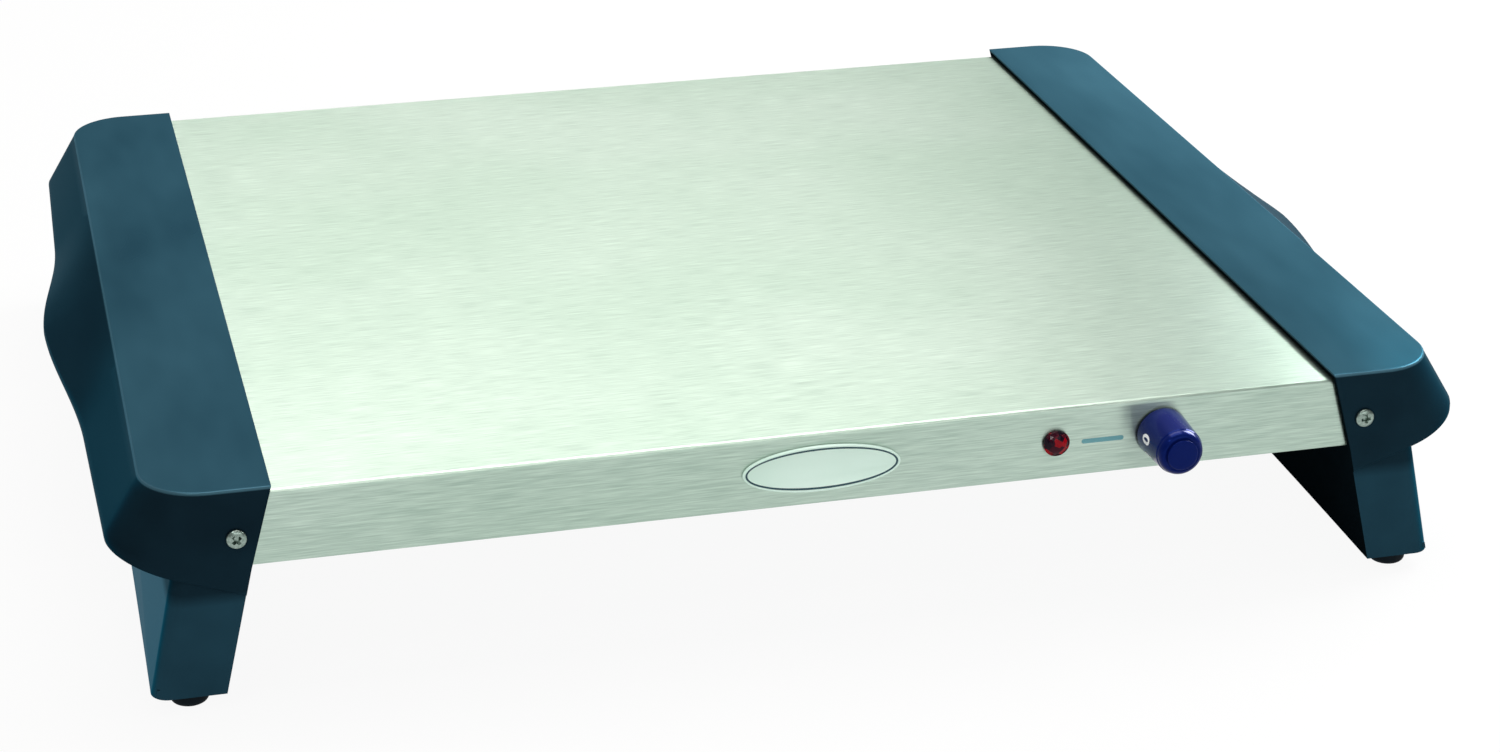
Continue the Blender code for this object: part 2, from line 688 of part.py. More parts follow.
def panel_holes():
    """Holes in the front and rear of the tray."""
    bore = SCREW_RADIUS + HOLE_FIT
    z = HEATED_HEIGHT - CAP_SCREW_DROP
    for x in (-CAP_X - CAP_SCREW_REACH, CAP_X + CAP_SCREW_REACH):
        for turn in (FORWARD, BACKWARD):
            yield panel_hole(x, z, bore, turn, 10)
    yield panel_hole(KNOB_X, CONTROL_Z, BUSHING_RADIUS + HOLE_FIT, FORWARD)
    yield panel_hole(LAMP_X, CONTROL_Z, LENS_STEM_RADIUS + HOLE_FIT, FORWARD)
    for x in (-PLATE_STUD_SPACING / 2, PLATE_STUD_SPACING / 2):
        yield panel_hole(x, CONTROL_Z, PLATE_STUD_RADIUS + HOLE_FIT, FORWARD, 10)
    yield panel_hole(GLAND_X, GLAND_Z, GLAND_BODY_RADIUS + HOLE_FIT, BACKWARD)


def welded_stud(x, y, radius, length):
    """A stud that starts inside the tray's top sheet and hangs down."""
    top = HEATED_HEIGHT - SHEET / 2
    return moved(rod(radius, top - length, top, 10), (x, y, 0))


def make_tray(steel, base):
    mesh = prism_along_x(tray_section(0), -TRAY_END, TRAY_END)
    mesh = cut(mesh, prism_along_x(tray_section(SHEET), SHEET - TRAY_END, TRAY_END - SHEET))
    open_x = TRAY_END - LIP_WIDTH
    open_y = TRAY_FRONT - LIP_WIDTH
    low = TRAY_BOTTOM - OVERRUN
    mesh = cut(mesh, box((-open_x, -open_y, low), (open_x, open_y, TRAY_BOTTOM + OVERRUN)))
    mesh = cut(mesh, *panel_holes())
    for x, y in cover_screw_places():
        hole = rod(COVER_SCREW_RADIUS + HOLE_FIT, low, TRAY_BOTTOM + OVERRUN, 10)
        mesh = cut(mesh, moved(hole, (x, y, 0)))
    for x, y in stud_places():
        mesh = fused(mesh, welded_stud(x, y, STUD_RADIUS, STUD_LENGTH))
    earth_y = block_place()[1]
    mesh = fused(mesh, welded_stud(EARTH_X, earth_y, STUD_RADIUS, BLOCK_HEIGHT))
    smooth(mesh)
    place("tray_top", mesh, steel, base)


# Heating stack


def stud_holes(radius, low, high):
    for x, y in stud_places():
        yield moved(rod(radius, low - OVERRUN, high + OVERRUN, 10), (x, y, 0))


def make_spreader(aluminium, base):
    mesh = box((-STACK_HALF_X, -STACK_HALF_Y, SPREADER_BOTTOM), (STACK_HALF_X, STACK_HALF_Y, SPREADER_TOP))
    mesh = cut(mesh, *stud_holes(STUD_RADIUS + HOLE_FIT, SPREADER_BOTTOM, SPREADER_TOP))
    place("heat_spreader", mesh, aluminium, base)


def element_path():
    """Points of the heater rod: rows along X joined by half-round bends, both tails at the right."""
    half = ELEMENT_HALF_X
    bend = ELEMENT_ROW_PITCH / 2
    tail = STACK_HALF_X + ELEMENT_TAIL
    last = ELEMENT_ROWS - 1
    points = []
    for row in range(ELEMENT_ROWS):
        y = ELEMENT_ROW_PITCH * (row - last / 2)
        along = -1 if row % 2 == 0 else 1
        points.append((tail if row == 0 else -along * half, y))
        points.append((tail if row == last else along * half, y))
        if row < last:
            for i in range(1, ELEMENT_BEND_STEPS):
                angle = math.pi * i / ELEMENT_BEND_STEPS - math.pi / 2
                points.append((along * (half + bend * math.cos(angle)), y + bend + bend * math.sin(angle)))
    return points


def tube_along(points, radius, resolution=1):
    """A round tube along a chain of points, closed at both ends."""
    curve = bpy.data.curves.new("route", "CURVE")
    curve.dimensions = "3D"
    curve.bevel_depth = radius
    curve.bevel_resolution = resolution
    curve.use_fill_caps = True
    line = curve.splines.new("POLY")
    line.points.add(len(points) - 1)
    for spot, point in zip(line.points, points):
        spot.co = (*point, 1)
    thing = bpy.data.objects.new("route", curve)
    bpy.context.scene.collection.objects.link(thing)
    state = bpy.context.evaluated_depsgraph_get()
    mesh = bpy.data.meshes.new_from_object(thing.evaluated_get(state))
    bpy.data.objects.remove(thing, do_unlink=True)
    shape = bmesh.new()
    shape.from_mesh(mesh)
    bmesh.ops.remove_doubles(shape, verts=shape.verts, dist=radius / 1000)
    return mesh_of(shape)


def make_element(sheath, base):
    mesh = tube_along([(x, y, ELEMENT_Z) for x, y in element_path()], ELEMENT_RADIUS)
    smooth(mesh)
    place("heating_element", mesh, sheath, base)


def make_crossbars(steel, base):
    """Two straps that hold the heater rod up against the spreader."""
    half = CROSSBAR_WIDTH / 2
    reach = STUD_Y + half
    for name, x in (("left", -STUD_X), ("right", STUD_X)):
        mesh = box((x - half, -reach, CROSSBAR_BOTTOM), (x + half, reach, CROSSBAR_TOP))
        mesh = cut(mesh, *stud_holes(STUD_RADIUS + HOLE_FIT, CROSSBAR_BOTTOM, CROSSBAR_TOP))
        place(f"element_crossbar_{name}", mesh, steel, base)


def make_blanket(wool, base):
    x = STACK_HALF_X - SHIELD_SHEET - BLANKET_EDGE_GAP
    y = STACK_HALF_Y - SHIELD_SHEET - BLANKET_EDGE_GAP
    mesh = box((-x, -y, BLANKET_BOTTOM), (x, y, BLANKET_TOP))
    mesh = cut(mesh, *stud_holes(STUD_RADIUS + BLANKET_EDGE_GAP, BLANKET_BOTTOM, BLANKET_TOP))
    place("insulation_blanket", mesh, wool, base)


def make_shield(steel, base):
    """A shallow pan that holds the blanket up, on the tray's studs."""
    x, y = STACK_HALF_X, STACK_HALF_Y
    rim = SHIELD_BOTTOM + SHIELD_WALL
    mesh = box((-x, -y, SHIELD_BOTTOM), (x, y, rim))
    x, y = x - SHIELD_SHEET, y - SHIELD_SHEET
    mesh = cut(mesh, box((-x, -y, SHIELD_TOP), (x, y, rim + OVERRUN)))
    mesh = cut(mesh, *stud_holes(STUD_RADIUS + HOLE_FIT, SHIELD_BOTTOM, SHIELD_TOP))
    place("heat_shield", mesh, steel, base)
    names = ("front_left", "rear_left", "front_right", "rear_right")
    for name, (x, y) in zip(names, stud_places()):
        nut = nut_mesh(NUT_WIDTH, NUT_HEIGHT, STUD_RADIUS + HOLE_FIT)
        at = (x, y, SHIELD_BOTTOM - FIT - NUT_HEIGHT)
        place(f"shield_nut_{name}", nut, steel, base).location = at


# Bottom cover


def bead_outline(y, height, inset):
    """(y, z) outline of a pressed bead: a low trapezium above the cover."""
    foot = BEAD_WIDTH / 2 - inset
    crown = foot - height
    base = COVER_BOTTOM if inset else COVER_TOP - SHEET / 2
    low = base - (OVERRUN if inset else 0)
    top = COVER_TOP + BEAD_HEIGHT - inset
    return [(y - foot, low), (y + foot, low), (y + foot, COVER_TOP - inset), (y + crown, top),
            (y - crown, top), (y - foot, COVER_TOP - inset)]


def slot_outline(x, y):
    """(x, y) outline of a vent slot with round ends."""
    reach = (VENT_LENGTH - VENT_WIDTH) / 2
    radius = VENT_WIDTH / 2
    right = arc((x + reach, y), radius, -math.pi / 2, math.pi / 2, 3)
    left = arc((x - reach, y), radius, math.pi / 2, 1.5 * math.pi, 3)
    return right + left


def make_cover(steel, base):
    low = (-COVER_HALF_LENGTH, -COVER_HALF_DEPTH, COVER_BOTTOM)
    high = (COVER_HALF_LENGTH, COVER_HALF_DEPTH, COVER_TOP)
    mesh = box(low, high)
    reach = COVER_HALF_LENGTH - BEAD_END_GAP
    for i in range(BEAD_COUNT):
        y = BEAD_PITCH * (i - (BEAD_COUNT - 1) / 2)
        mesh = fused(mesh, prism_along_x(bead_outline(y, BEAD_HEIGHT, 0), -reach, reach))
        hollow = prism_along_x(bead_outline(y, BEAD_HEIGHT, SHEET), SHEET - reach, reach - SHEET)
        mesh = cut(mesh, hollow)
    for side in (-1, 1):
        for i in range(VENT_COUNT):
            y = BEAD_PITCH / 2 + VENT_PITCH * (i - (VENT_COUNT - 1) / 2)
            slot = slot_outline(side * VENT_X, y)
            mesh = cut(mesh, prism_along_z(slot, COVER_BOTTOM - OVERRUN, COVER_TOP + OVERRUN))
    for x, y in cover_screw_places():
        hole = rod(COVER_SCREW_RADIUS + HOLE_FIT, COVER_BOTTOM - OVERRUN, COVER_TOP + OVERRUN, 10)
        mesh = cut(mesh, moved(hole, (x, y, 0)))
    place("bottom_cover", mesh, steel, base)


def make_cover_screws(steel, base):
    for number, (x, y) in enumerate(cover_screw_places(), start=1):
        mesh = screw_mesh(COVER_SCREW_RADIUS, COVER_SCREW_LENGTH, COVER_SCREW_HEAD_RADIUS,
                          COVER_SCREW_HEAD_HEIGHT)
        smooth(mesh)
        at = Matrix.Translation((x, y, COVER_BOTTOM - FIT))
        place(f"cover_screw_{number}", mesh, steel, base).matrix_local = at @ DOWNWARD


# Controls


def knob_mesh():
    """A tapered round knob along +Z, hollow behind, with a flatted bore in its hub."""
    chamfer = KNOB_LENGTH - KNOB_CHAMFER
    step = KNOB_LENGTH + KNOB_FACE_STEP
    face = KNOB_FACE_RADIUS
    profile = [(0, 0), (KNOB_REAR_RADIUS, 0), (KNOB_FRONT_RADIUS, chamfer)]
    profile += [(KNOB_FRONT_RADIUS - KNOB_CHAMFER, KNOB_LENGTH), (face + KNOB_FACE_STEP, KNOB_LENGTH)]
    profile += [(face, step), (0, step)]
    outer = turned(profile, 40)
    roof = KNOB_LENGTH - KNOB_WALL
    taper = (KNOB_REAR_RADIUS - KNOB_FRONT_RADIUS) * roof / chamfer
    wide = KNOB_REAR_RADIUS - KNOB_WALL
    hollow = turned([(0, -OVERRUN), (wide, -OVERRUN), (wide, 0), (wide - taper, roof), (0, roof)], 24)
    hub = rod(KNOB_HUB_RADIUS, KNOB_HUB_RECESS, KNOB_LENGTH - KNOB_WALL / 2, 20)
    mesh = fused(cut(outer, hollow), hub)
    bore_end = BUSHING_REACH - KNOB_GAP + SHAFT_GRIP
    return cut(mesh, flatted_rod(SHAFT_RADIUS + CLIP_THICKNESS + 2 * HOLE_FIT, 0, bore_end))


def flatted_rod(radius, start, end):
    """A round bar about Z with a flat towards +X."""
    flat = SHAFT_RADIUS - SHAFT_FLAT + (radius - SHAFT_RADIUS)
    reach = radius + OVERRUN
    block = box((flat, -reach, start - OVERRUN), (reach, reach, end + OVERRUN))
    return cut(rod(radius, start, end, 20), block)


def clip_mesh(start, end):
    """The sprung strip between the shaft's flat and the flat of the knob's bore."""
    flat = SHAFT_RADIUS - SHAFT_FLAT + HOLE_FIT
    half = math.sqrt(SHAFT_RADIUS ** 2 - flat ** 2)
    return box((flat, -half, start), (flat + CLIP_THICKNESS, half, end))


def make_knob(plastic, steel, axis):
    """The knob, its clip and the thermostat's shaft turn together about the axis empty."""
    knob = knob_mesh()
    smooth(knob)
    place("knob", knob, plastic, axis).matrix_local = FORWARD
    bore_end = BUSHING_REACH - KNOB_GAP + SHAFT_GRIP
    clip = clip_mesh(bore_end - FIT - CLIP_LENGTH, bore_end - FIT)
    place("knob_clip", clip, steel, axis).matrix_local = FORWARD
    rear = -KNOB_GAP - SHEET - FIT - THERMOSTAT_DEPTH / 2
    plain = KNOB_HUB_RECESS - FIT
    shaft = rod(SHAFT_RADIUS, rear, plain, 20)
    shaft = fused(shaft, flatted_rod(SHAFT_RADIUS, plain - FIT, bore_end - FIT))
    smooth(shaft)
    place("thermostat_shaft", shaft, steel, axis).matrix_local = FORWARD


def make_thermostat(ceramic, steel, base):
    """Body and threaded bushing in one, held by a nut on the front of the panel."""
    front = PANEL_INSIDE - FIT
    rear = front - THERMOSTAT_DEPTH
    half_x = THERMOSTAT_WIDTH / 2
    half_z = THERMOSTAT_HEIGHT / 2
    mesh = box((-half_x, -front, -half_z), (half_x, -rear, half_z))
    bushing_end = TRAY_FRONT + BUSHING_REACH
    bushing = rod(BUSHING_RADIUS, front - KEY_DEPTH, bushing_end, 20)
    mesh = fused(mesh, moved(bushing, (0, 0, 0), FORWARD))
    bore_start = front - THERMOSTAT_DEPTH / 2 - FIT
    bore = rod(SHAFT_RADIUS + HOLE_FIT, bore_start, bushing_end + OVERRUN, 20)
    mesh = cut(mesh, moved(bore, (0, 0, 0), FORWARD))
    for x in (-THERMOSTAT_WIDTH / 4, THERMOSTAT_WIDTH / 4):
        low = (x - THERMOSTAT_TAB_WIDTH / 2, -rear - KEY_DEPTH, -SHEET / 2)
        high = (x + THERMOSTAT_TAB_WIDTH / 2, THERMOSTAT_TAB_LENGTH - rear, SHEET / 2)
        mesh = fused(mesh, box(low, high))
    smooth(mesh)
    place("thermostat_body", mesh, ceramic, base).location = (KNOB_X, 0, CONTROL_Z)
    nut = nut_mesh(BUSHING_NUT_WIDTH, BUSHING_NUT_HEIGHT, BUSHING_RADIUS + HOLE_FIT, 20)
    at = Matrix.Translation((KNOB_X, -TRAY_FRONT - FIT, CONTROL_Z))
    place("thermostat_nut", nut, steel, base).matrix_local = at @ FORWARD


def make_lamp(red, black, steel, base):
    """Domed lens through the panel, its holder pushed in from behind, and a spring washer."""
    seat = TRAY_FRONT + FIT
    inner = LENS_STEM_RADIUS - LENS_WALL
    rear = TRAY_FRONT - LENS_STEM_LENGTH
    profile = [(inner, rear), (LENS_STEM_RADIUS, rear), (LENS_STEM_RADIUS, seat), (LENS_RADIUS, seat)]
    top = seat + LENS_RISE
    profile += [(LENS_RADIUS, seat + LENS_RIM), (LENS_RADIUS * math.sqrt(0.5), top - LENS_WALL / 2)]
    profile += [(0, top), (0, top - LENS_WALL), (inner, seat + LENS_RIM)]
    lens = turned(profile, 20)
    smooth(lens)
    at = Matrix.Translation((LAMP_X, 0, CONTROL_Z)) @ FORWARD
    place("pilot_lamp_lens", lens, red, base).matrix_local = at
    holder_front = TRAY_FRONT - FIT
    flange = rear - FIT
    bulb = inner - HOLE_FIT
    end = flange - LAMP_HOLDER_LENGTH
    profile = [(0, end), (LAMP_HOLDER_RADIUS, end), (LAMP_HOLDER_RADIUS, flange)]
    profile += [(bulb, flange), (bulb, holder_front - bulb), (0, holder_front)]
    holder = turned(profile)
    smooth(holder)
    place("pilot_lamp_holder", holder, black, base).matrix_local = at
    clip = tube(LENS_STEM_RADIUS + HOLE_FIT, LAMP_CLIP_RADIUS, 0, LAMP_CLIP_THICKNESS)
    at = Matrix.Translation((LAMP_X, FIT + LAMP_CLIP_THICKNESS - PANEL_INSIDE, CONTROL_Z)) @ FORWARD
    place("pilot_lamp_clip", clip, steel, base).matrix_local = at


# Oval plate


def oval(inset, height, steps=40):
    """A ring of points on the plate's oval, at a height above the panel."""
    wide = PLATE_WIDTH / 2 - inset
    tall = PLATE_HEIGHT / 2 - inset
    angles = [2 * math.pi * i / steps for i in range(steps)]
    return [(wide * math.cos(a), tall * math.sin(a), height) for a in angles]


def make_plate(painted, steel, base):
    """A bare oval plate with a raised rim, on two studs with push nuts behind."""
    top = PLATE_THICKNESS
    rings = [oval(0, 0), oval(0, top - PLATE_BEVEL), oval(PLATE_BEVEL, top), oval(PLATE_RIM, top)]
    rings.append(oval(PLATE_RIM + PLATE_BEVEL, top - PLATE_FIELD_DEPTH))
    mesh = loft(rings)
    for x in (-PLATE_STUD_SPACING / 2, PLATE_STUD_SPACING / 2):
        stud = rod(PLATE_STUD_RADIUS, -PLATE_STUD_LENGTH, PLATE_THICKNESS / 2, 10)
        mesh = fused(mesh, moved(stud, (x, 0, 0)))
    smooth(mesh)
    at = Matrix.Translation((0, -TRAY_FRONT - FIT, CONTROL_Z)) @ FORWARD
    place("oval_plate", mesh, painted, base).matrix_local = at
    for name, x in (("left", -PLATE_STUD_SPACING / 2), ("right", PLATE_STUD_SPACING / 2)):
        nut = tube(PLATE_STUD_RADIUS + HOLE_FIT, PUSH_NUT_RADIUS, 0, PUSH_NUT_THICKNESS, 12)
        at = Matrix.Translation((x, FIT + PUSH_NUT_THICKNESS - PANEL_INSIDE, CONTROL_Z)) @ FORWARD
        place(f"plate_push_nut_{name}", nut, steel, base).matrix_local = at


# Supply side


def make_gland(nylon, base):
    """The rear cord entry: a flanged bushing with an open bore, and its nut inside."""
    seat = TRAY_FRONT + FIT
    inside = seat - GLAND_BODY_LENGTH
    outside = seat + GLAND_FLANGE_THICKNESS
    profile = [(GLAND_BORE_RADIUS, inside), (GLAND_BODY_RADIUS, inside), (GLAND_BODY_RADIUS, seat)]
    profile += [(GLAND_FLANGE_RADIUS, seat), (GLAND_FLANGE_RADIUS, outside - LIP_BEND)]
    profile += [(GLAND_FLANGE_RADIUS - LIP_BEND, outside), (GLAND_BORE_RADIUS, outside)]
    mesh = turned(profile, 20)
    smooth(mesh)
    at = Matrix.Translation((GLAND_X, 0, GLAND_Z)) @ BACKWARD
    place("cord_gland", mesh, nylon, base).matrix_local = at
    nut = nut_mesh(GLAND_NUT_WIDTH, GLAND_NUT_HEIGHT, GLAND_BODY_RADIUS + HOLE_FIT, 20)
    at = Matrix.Translation((GLAND_X, PANEL_INSIDE - FIT - GLAND_NUT_HEIGHT, GLAND_Z)) @ BACKWARD
    place("cord_gland_nut", nut, nylon, base).matrix_local = at


def make_terminal_block(ceramic, steel, base):
    """A two-way block under the tray's top, and the earth stud's nut beside it."""
    x, y, z = block_place()
    half = (BLOCK_WIDTH / 2, BLOCK_DEPTH / 2, BLOCK_HEIGHT / 2)
    mesh = box([-h for h in half], half)
    for side in (-1, 1):
        well = rod(BLOCK_WELL_RADIUS, -half[2] - OVERRUN, BLOCK_WELL_DEPTH - half[2], 10)
        mesh = cut(mesh, moved(well, (side * BLOCK_WIDTH / 4, 0, 0)))
    place("terminal_block", mesh, ceramic, base).location = (x, y, z)
    nut = nut_mesh(NUT_WIDTH, NUT_HEIGHT, STUD_RADIUS + HOLE_FIT)
    place("earth_nut", nut, steel, base).location = (EARTH_X, y, HEATED_HEIGHT - SHEET - FIT - NUT_HEIGHT)


def fuse_place():
    """Middle of the thermal fuse, outside the shield's right wall."""
    x = STACK_HALF_X + FIT + FUSE_CLAMP_THICKNESS + HOLE_FIT + FUSE_RADIUS
    return x, FUSE_Y, SHIELD_BOTTOM + SHIELD_WALL / 2


def make_fuse(white, steel, base):
    """The thermal fuse along Y, in a clamp on the shield's wall."""
    fuse = rod(FUSE_RADIUS, -FUSE_LENGTH / 2, FUSE_LENGTH / 2, 14)
    smooth(fuse)
    at = Matrix.Translation(fuse_place())
    place("thermal_fuse", fuse, white, base).matrix_local = at @ BACKWARD
    inner = FUSE_RADIUS + HOLE_FIT
    outer = inner + FUSE_CLAMP_THICKNESS
    band = [(-outer, -inner), (-outer, -outer)] + arc((0, 0), outer, -math.pi / 2, math.pi / 2, 6)
    band += [(-inner, outer), (-inner, FUSE_CLAMP_LEG), (-outer, FUSE_CLAMP_LEG), (-outer, inner)]
    band += list(reversed(arc((0, 0), inner, -math.pi / 2, math.pi / 2, 6)))
    clamp = prism_along_y(band, -FUSE_CLAMP_WIDTH / 2, FUSE_CLAMP_WIDTH / 2)
    place("fuse_clamp", clamp, steel, base).location = fuse_place()


# Wires


def smooth_route(points, steps):
    """A smooth curve through the route's own points, its first and last stretches straight."""
    spots = [Vector(p) for p in points]
    route = [spots[0]]
    for before, one, other, after in zip(spots, spots[1:], spots[2:], spots[3:]):
        for i in range(steps):
            t = i / steps
            pull = (other - before) * t + (2 * before - 5 * one + 4 * other - after) * t * t
            route.append(one + (pull + (3 * one - before - 3 * other + after) * t ** 3) / 2)
    return route + spots[-2:]


def tab_end(side, above):
    """Where a wire meets a thermostat tab, above it or below it."""
    y = -(PANEL_INSIDE - FIT - THERMOSTAT_DEPTH - THERMOSTAT_TAB_LENGTH / 2)
    lift = SHEET / 2 + FIT
    return Vector((KNOB_X + side * THERMOSTAT_WIDTH / 4, y, CONTROL_Z + (lift if above else -lift)))


def well_end(side):
    """Where a wire enters a well in the underside of the terminal block."""
    x, y, z = block_place()
    return Vector((x + side * BLOCK_WIDTH / 4, y, z - BLOCK_HEIGHT / 2 + BLOCK_WELL_DEPTH - FIT))


def element_end(side, lift):
    """Where a wire meets a tail of the heater rod."""
    return Vector((STACK_HALF_X + ELEMENT_TAIL + FIT, side * ELEMENT_HALF_Y, ELEMENT_Z + lift))


def lamp_end(side):
    """Where a wire leaves the back of the lamp's holder; side is 1 for the upper one."""
    y = TRAY_FRONT - LENS_STEM_LENGTH - FIT - LAMP_HOLDER_LENGTH - FIT
    return Vector((LAMP_X, -y, CONTROL_Z + side * LAMP_HOLDER_RADIUS / 2))


def fuse_end(side):
    x, y, z = fuse_place()
    return Vector((x, y + side * (FUSE_LENGTH / 2 + FIT), z))


def side_run(lane, rear, front):
    """Points down the right-hand channel, from a place near the rear to one near the front."""
    x = WIRE_SIDE + lane * WIRE_LANE
    z = WIRE_FLOOR + lane * WIRE_LANE
    middle = (rear + front) / 2
    return [(x - WIRE_BEND, rear, z), (x, rear - WIRE_BEND, z), (x, middle, z),
            (x, front + WIRE_BEND, z), (x - WIRE_BEND, front, z)]


def wire_routes():
    """The name and route of each wire between the terminals."""
    along = Vector((WIRE_DROP, 0, 0))
    back = Vector((0, WIRE_DROP, 0))
    down = Vector((0, 0, -WIRE_DROP))
    channel = (STACK_HALF_Y + PANEL_INSIDE) / 2
    high = Vector((WIRE_SIDE, 0, ELEMENT_Z))

    line, neutral = well_end(-1), well_end(1)
    switched, fed = tab_end(-1, True), tab_end(1, False)
    run = side_run(0, channel, fed.y)
    yield "wire_line", [line, (line.x, line.y, WIRE_FLOOR + WIRE_RADIUS), *run,
                        (fed.x + WIRE_DROP, fed.y, WIRE_FLOOR), fed + down, fed]

    element = element_end(-1, 0)
    turn = Vector((WIRE_SIDE, element.y - WIRE_BEND, ELEMENT_Z))
    yield "wire_element", [switched, switched - down / 2, (switched.x + WIRE_BEND, switched.y, ELEMENT_Z),
                           (WIRE_SIDE - WIRE_BEND, switched.y, ELEMENT_Z), turn, element + along, element]

    hot, fuse = element_end(1, WIRE_RADIUS + FIT), fuse_end(1)
    yield "wire_fuse", [hot, hot + along, high + Vector((0, hot.y - WIRE_DROP, -WIRE_DROP)),
                        fuse + back, fuse]

    fuse = fuse_end(-1)
    low = WIRE_FLOOR + 2 * WIRE_LANE
    outside = WIRE_SIDE + WIRE_DROP
    yield "wire_neutral", [fuse, fuse - back, (WIRE_SIDE, fuse.y - WIRE_BEND, low),
                           (outside, fuse.y, low), (outside, neutral.y - WIRE_BEND, low),
                           (WIRE_SIDE - WIRE_BEND, neutral.y, low),
                           neutral + down + 2 * along, neutral + down, neutral]

    lamp, tab = lamp_end(-1), tab_end(-1, False)
    yield "wire_lamp_feed", [lamp, lamp + back / 2, lamp + down + back / 2 + along,
                             tab + down - along, tab + down / 2, tab]

    lamp, cold = lamp_end(1), element_end(1, -WIRE_RADIUS - FIT)
    lane = list(reversed(side_run(1, cold.y + 2 * WIRE_BEND, lamp.y + WIRE_DROP)))
    last = (WIRE_SIDE + WIRE_LANE, cold.y - 2 * WIRE_BEND, WIRE_FLOOR + WIRE_LANE)
    yield "wire_lamp_return", [lamp, lamp + back / 2, lamp + back + along, *lane[:3],
                               last, cold + along, cold]


def make_wires(insulation, base):
    for name, points in wire_routes():
        mesh = tube_along(smooth_route(points, WIRE_STEPS), WIRE_RADIUS, 0)
        smooth(mesh, math.radians(60))
        place(name, mesh, insulation, base)


def main():
    clear_scene()
    base = bpy.data.objects.new("tray_origin", None)
    base.location = (0, ORIGIN_SHIFT, 0)
    axis = bpy.data.objects.new("knob_axis", None)
    axis.location = (KNOB_X, -KNOB_REAR, CONTROL_Z)
    axis.parent = base
    for empty in (base, axis):
        bpy.context.scene.collection.objects.link(empty)

    stainless = material("brushed_stainless", (0.62, 0.66, 0.62), 0.32, 1.0)
    plated = material("plated_steel", (0.55, 0.56, 0.56), 0.35, 1.0)
    galvanised = material("galvanised_steel", (0.48, 0.50, 0.51), 0.45, 1.0)
    aluminium = material("spreader_aluminium", (0.75, 0.76, 0.77), 0.4, 1.0)
    sheath = material("heater_sheath", (0.20, 0.17, 0.15), 0.5, 1.0)
    cap_plastic = material("cap_plastic", (0.020, 0.036, 0.048), 0.42)
    knob_plastic = material("knob_plastic", (0.010, 0.018, 0.085), 0.30)
    nylon = material("gland_nylon", (0.015, 0.015, 0.016), 0.5)
    rubber = material("foot_rubber", (0.008, 0.010, 0.012), 0.75)
    red_lens = material("lamp_red", (0.42, 0.01, 0.02), 0.12, 0.0, 0.5)
    ceramic = material("white_ceramic", (0.80, 0.79, 0.75), 0.5)
    wool = material("mineral_wool", (0.72, 0.68, 0.50), 0.95)
    silicone = material("wire_silicone", (0.60, 0.58, 0.52), 0.6)
    mint = material("plate_enamel", (0.50, 0.75, 0.65), 0.35)

    make_tray(stainless, base)
    make_caps(cap_plastic, base)
    make_feet(rubber, base)
    make_cap_screws(plated, base)
    make_spreader(aluminium, base)
    make_element(sheath, base)
    make_crossbars(galvanised, base)
    make_blanket(wool, base)
    make_shield(galvanised, base)
    make_cover(galvanised, base)
    make_cover_screws(plated, base)
    make_knob(knob_plastic, plated, axis)
    make_thermostat(ceramic, plated, base)
    make_lamp(red_lens, nylon, plated, base)
    make_plate(mint, plated, base)
    make_gland(nylon, base)
    make_terminal_block(ceramic, plated, base)
    make_fuse(ceramic, plated, base)
    make_wires(silicone, base)


main()
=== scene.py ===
import math

import bmesh
import bpy
from mathutils import Matrix, Vector


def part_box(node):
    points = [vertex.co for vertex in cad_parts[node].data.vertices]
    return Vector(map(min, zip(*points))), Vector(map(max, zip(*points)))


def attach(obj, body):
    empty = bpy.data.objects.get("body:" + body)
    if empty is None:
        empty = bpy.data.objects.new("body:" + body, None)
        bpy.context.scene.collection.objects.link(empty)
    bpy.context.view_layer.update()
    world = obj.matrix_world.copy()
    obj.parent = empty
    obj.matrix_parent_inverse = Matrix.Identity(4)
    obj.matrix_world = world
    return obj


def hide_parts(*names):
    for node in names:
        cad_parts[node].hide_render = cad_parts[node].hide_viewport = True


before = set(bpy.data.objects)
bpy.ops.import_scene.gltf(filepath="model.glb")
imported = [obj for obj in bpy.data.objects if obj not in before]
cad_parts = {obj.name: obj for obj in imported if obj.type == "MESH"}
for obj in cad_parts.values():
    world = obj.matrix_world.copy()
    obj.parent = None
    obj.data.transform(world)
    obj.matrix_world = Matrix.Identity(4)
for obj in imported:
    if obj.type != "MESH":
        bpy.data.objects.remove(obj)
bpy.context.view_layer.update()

# Places read from the frame, in metres
TRAY_LOW, TRAY_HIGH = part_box("tray_top")
KNOB_LOW, KNOB_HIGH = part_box("knob")
LENS_LOW, LENS_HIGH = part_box("pilot_lamp_lens")
PLATE_LOW, PLATE_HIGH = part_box("oval_plate")
GLAND_LOW, GLAND_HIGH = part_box("cord_gland")
MIDDLE_Y = (TRAY_LOW[1] + TRAY_HIGH[1]) / 2
PANEL_Y = TRAY_LOW[1]
CONTROL_Z = (KNOB_LOW[2] + KNOB_HIGH[2]) / 2
KNOB_X = (KNOB_LOW[0] + KNOB_HIGH[0]) / 2
LAMP_X = (LENS_LOW[0] + LENS_HIGH[0]) / 2
HEATED_HEIGHT = TRAY_HIGH[2]
TRAY_BOTTOM = TRAY_LOW[2]
FIT = 0.0003

# The photograph's viewpoint
VIEW_TARGET = Vector((0.0306, MIDDLE_Y, 0.020))
VIEW_AZIMUTH = math.radians(-14.23)
VIEW_ELEVATION = math.radians(23.35)
VIEW_DISTANCE = 1.6685
VIEW_LENS = 77.38
VIEW_SENSOR = 36.0
VIEW_ROLL = math.radians(0.04)
WORLD_STRENGTH = 0.29
FLOOR_GLOW = 0.93  # white of the floor to the camera and in reflections

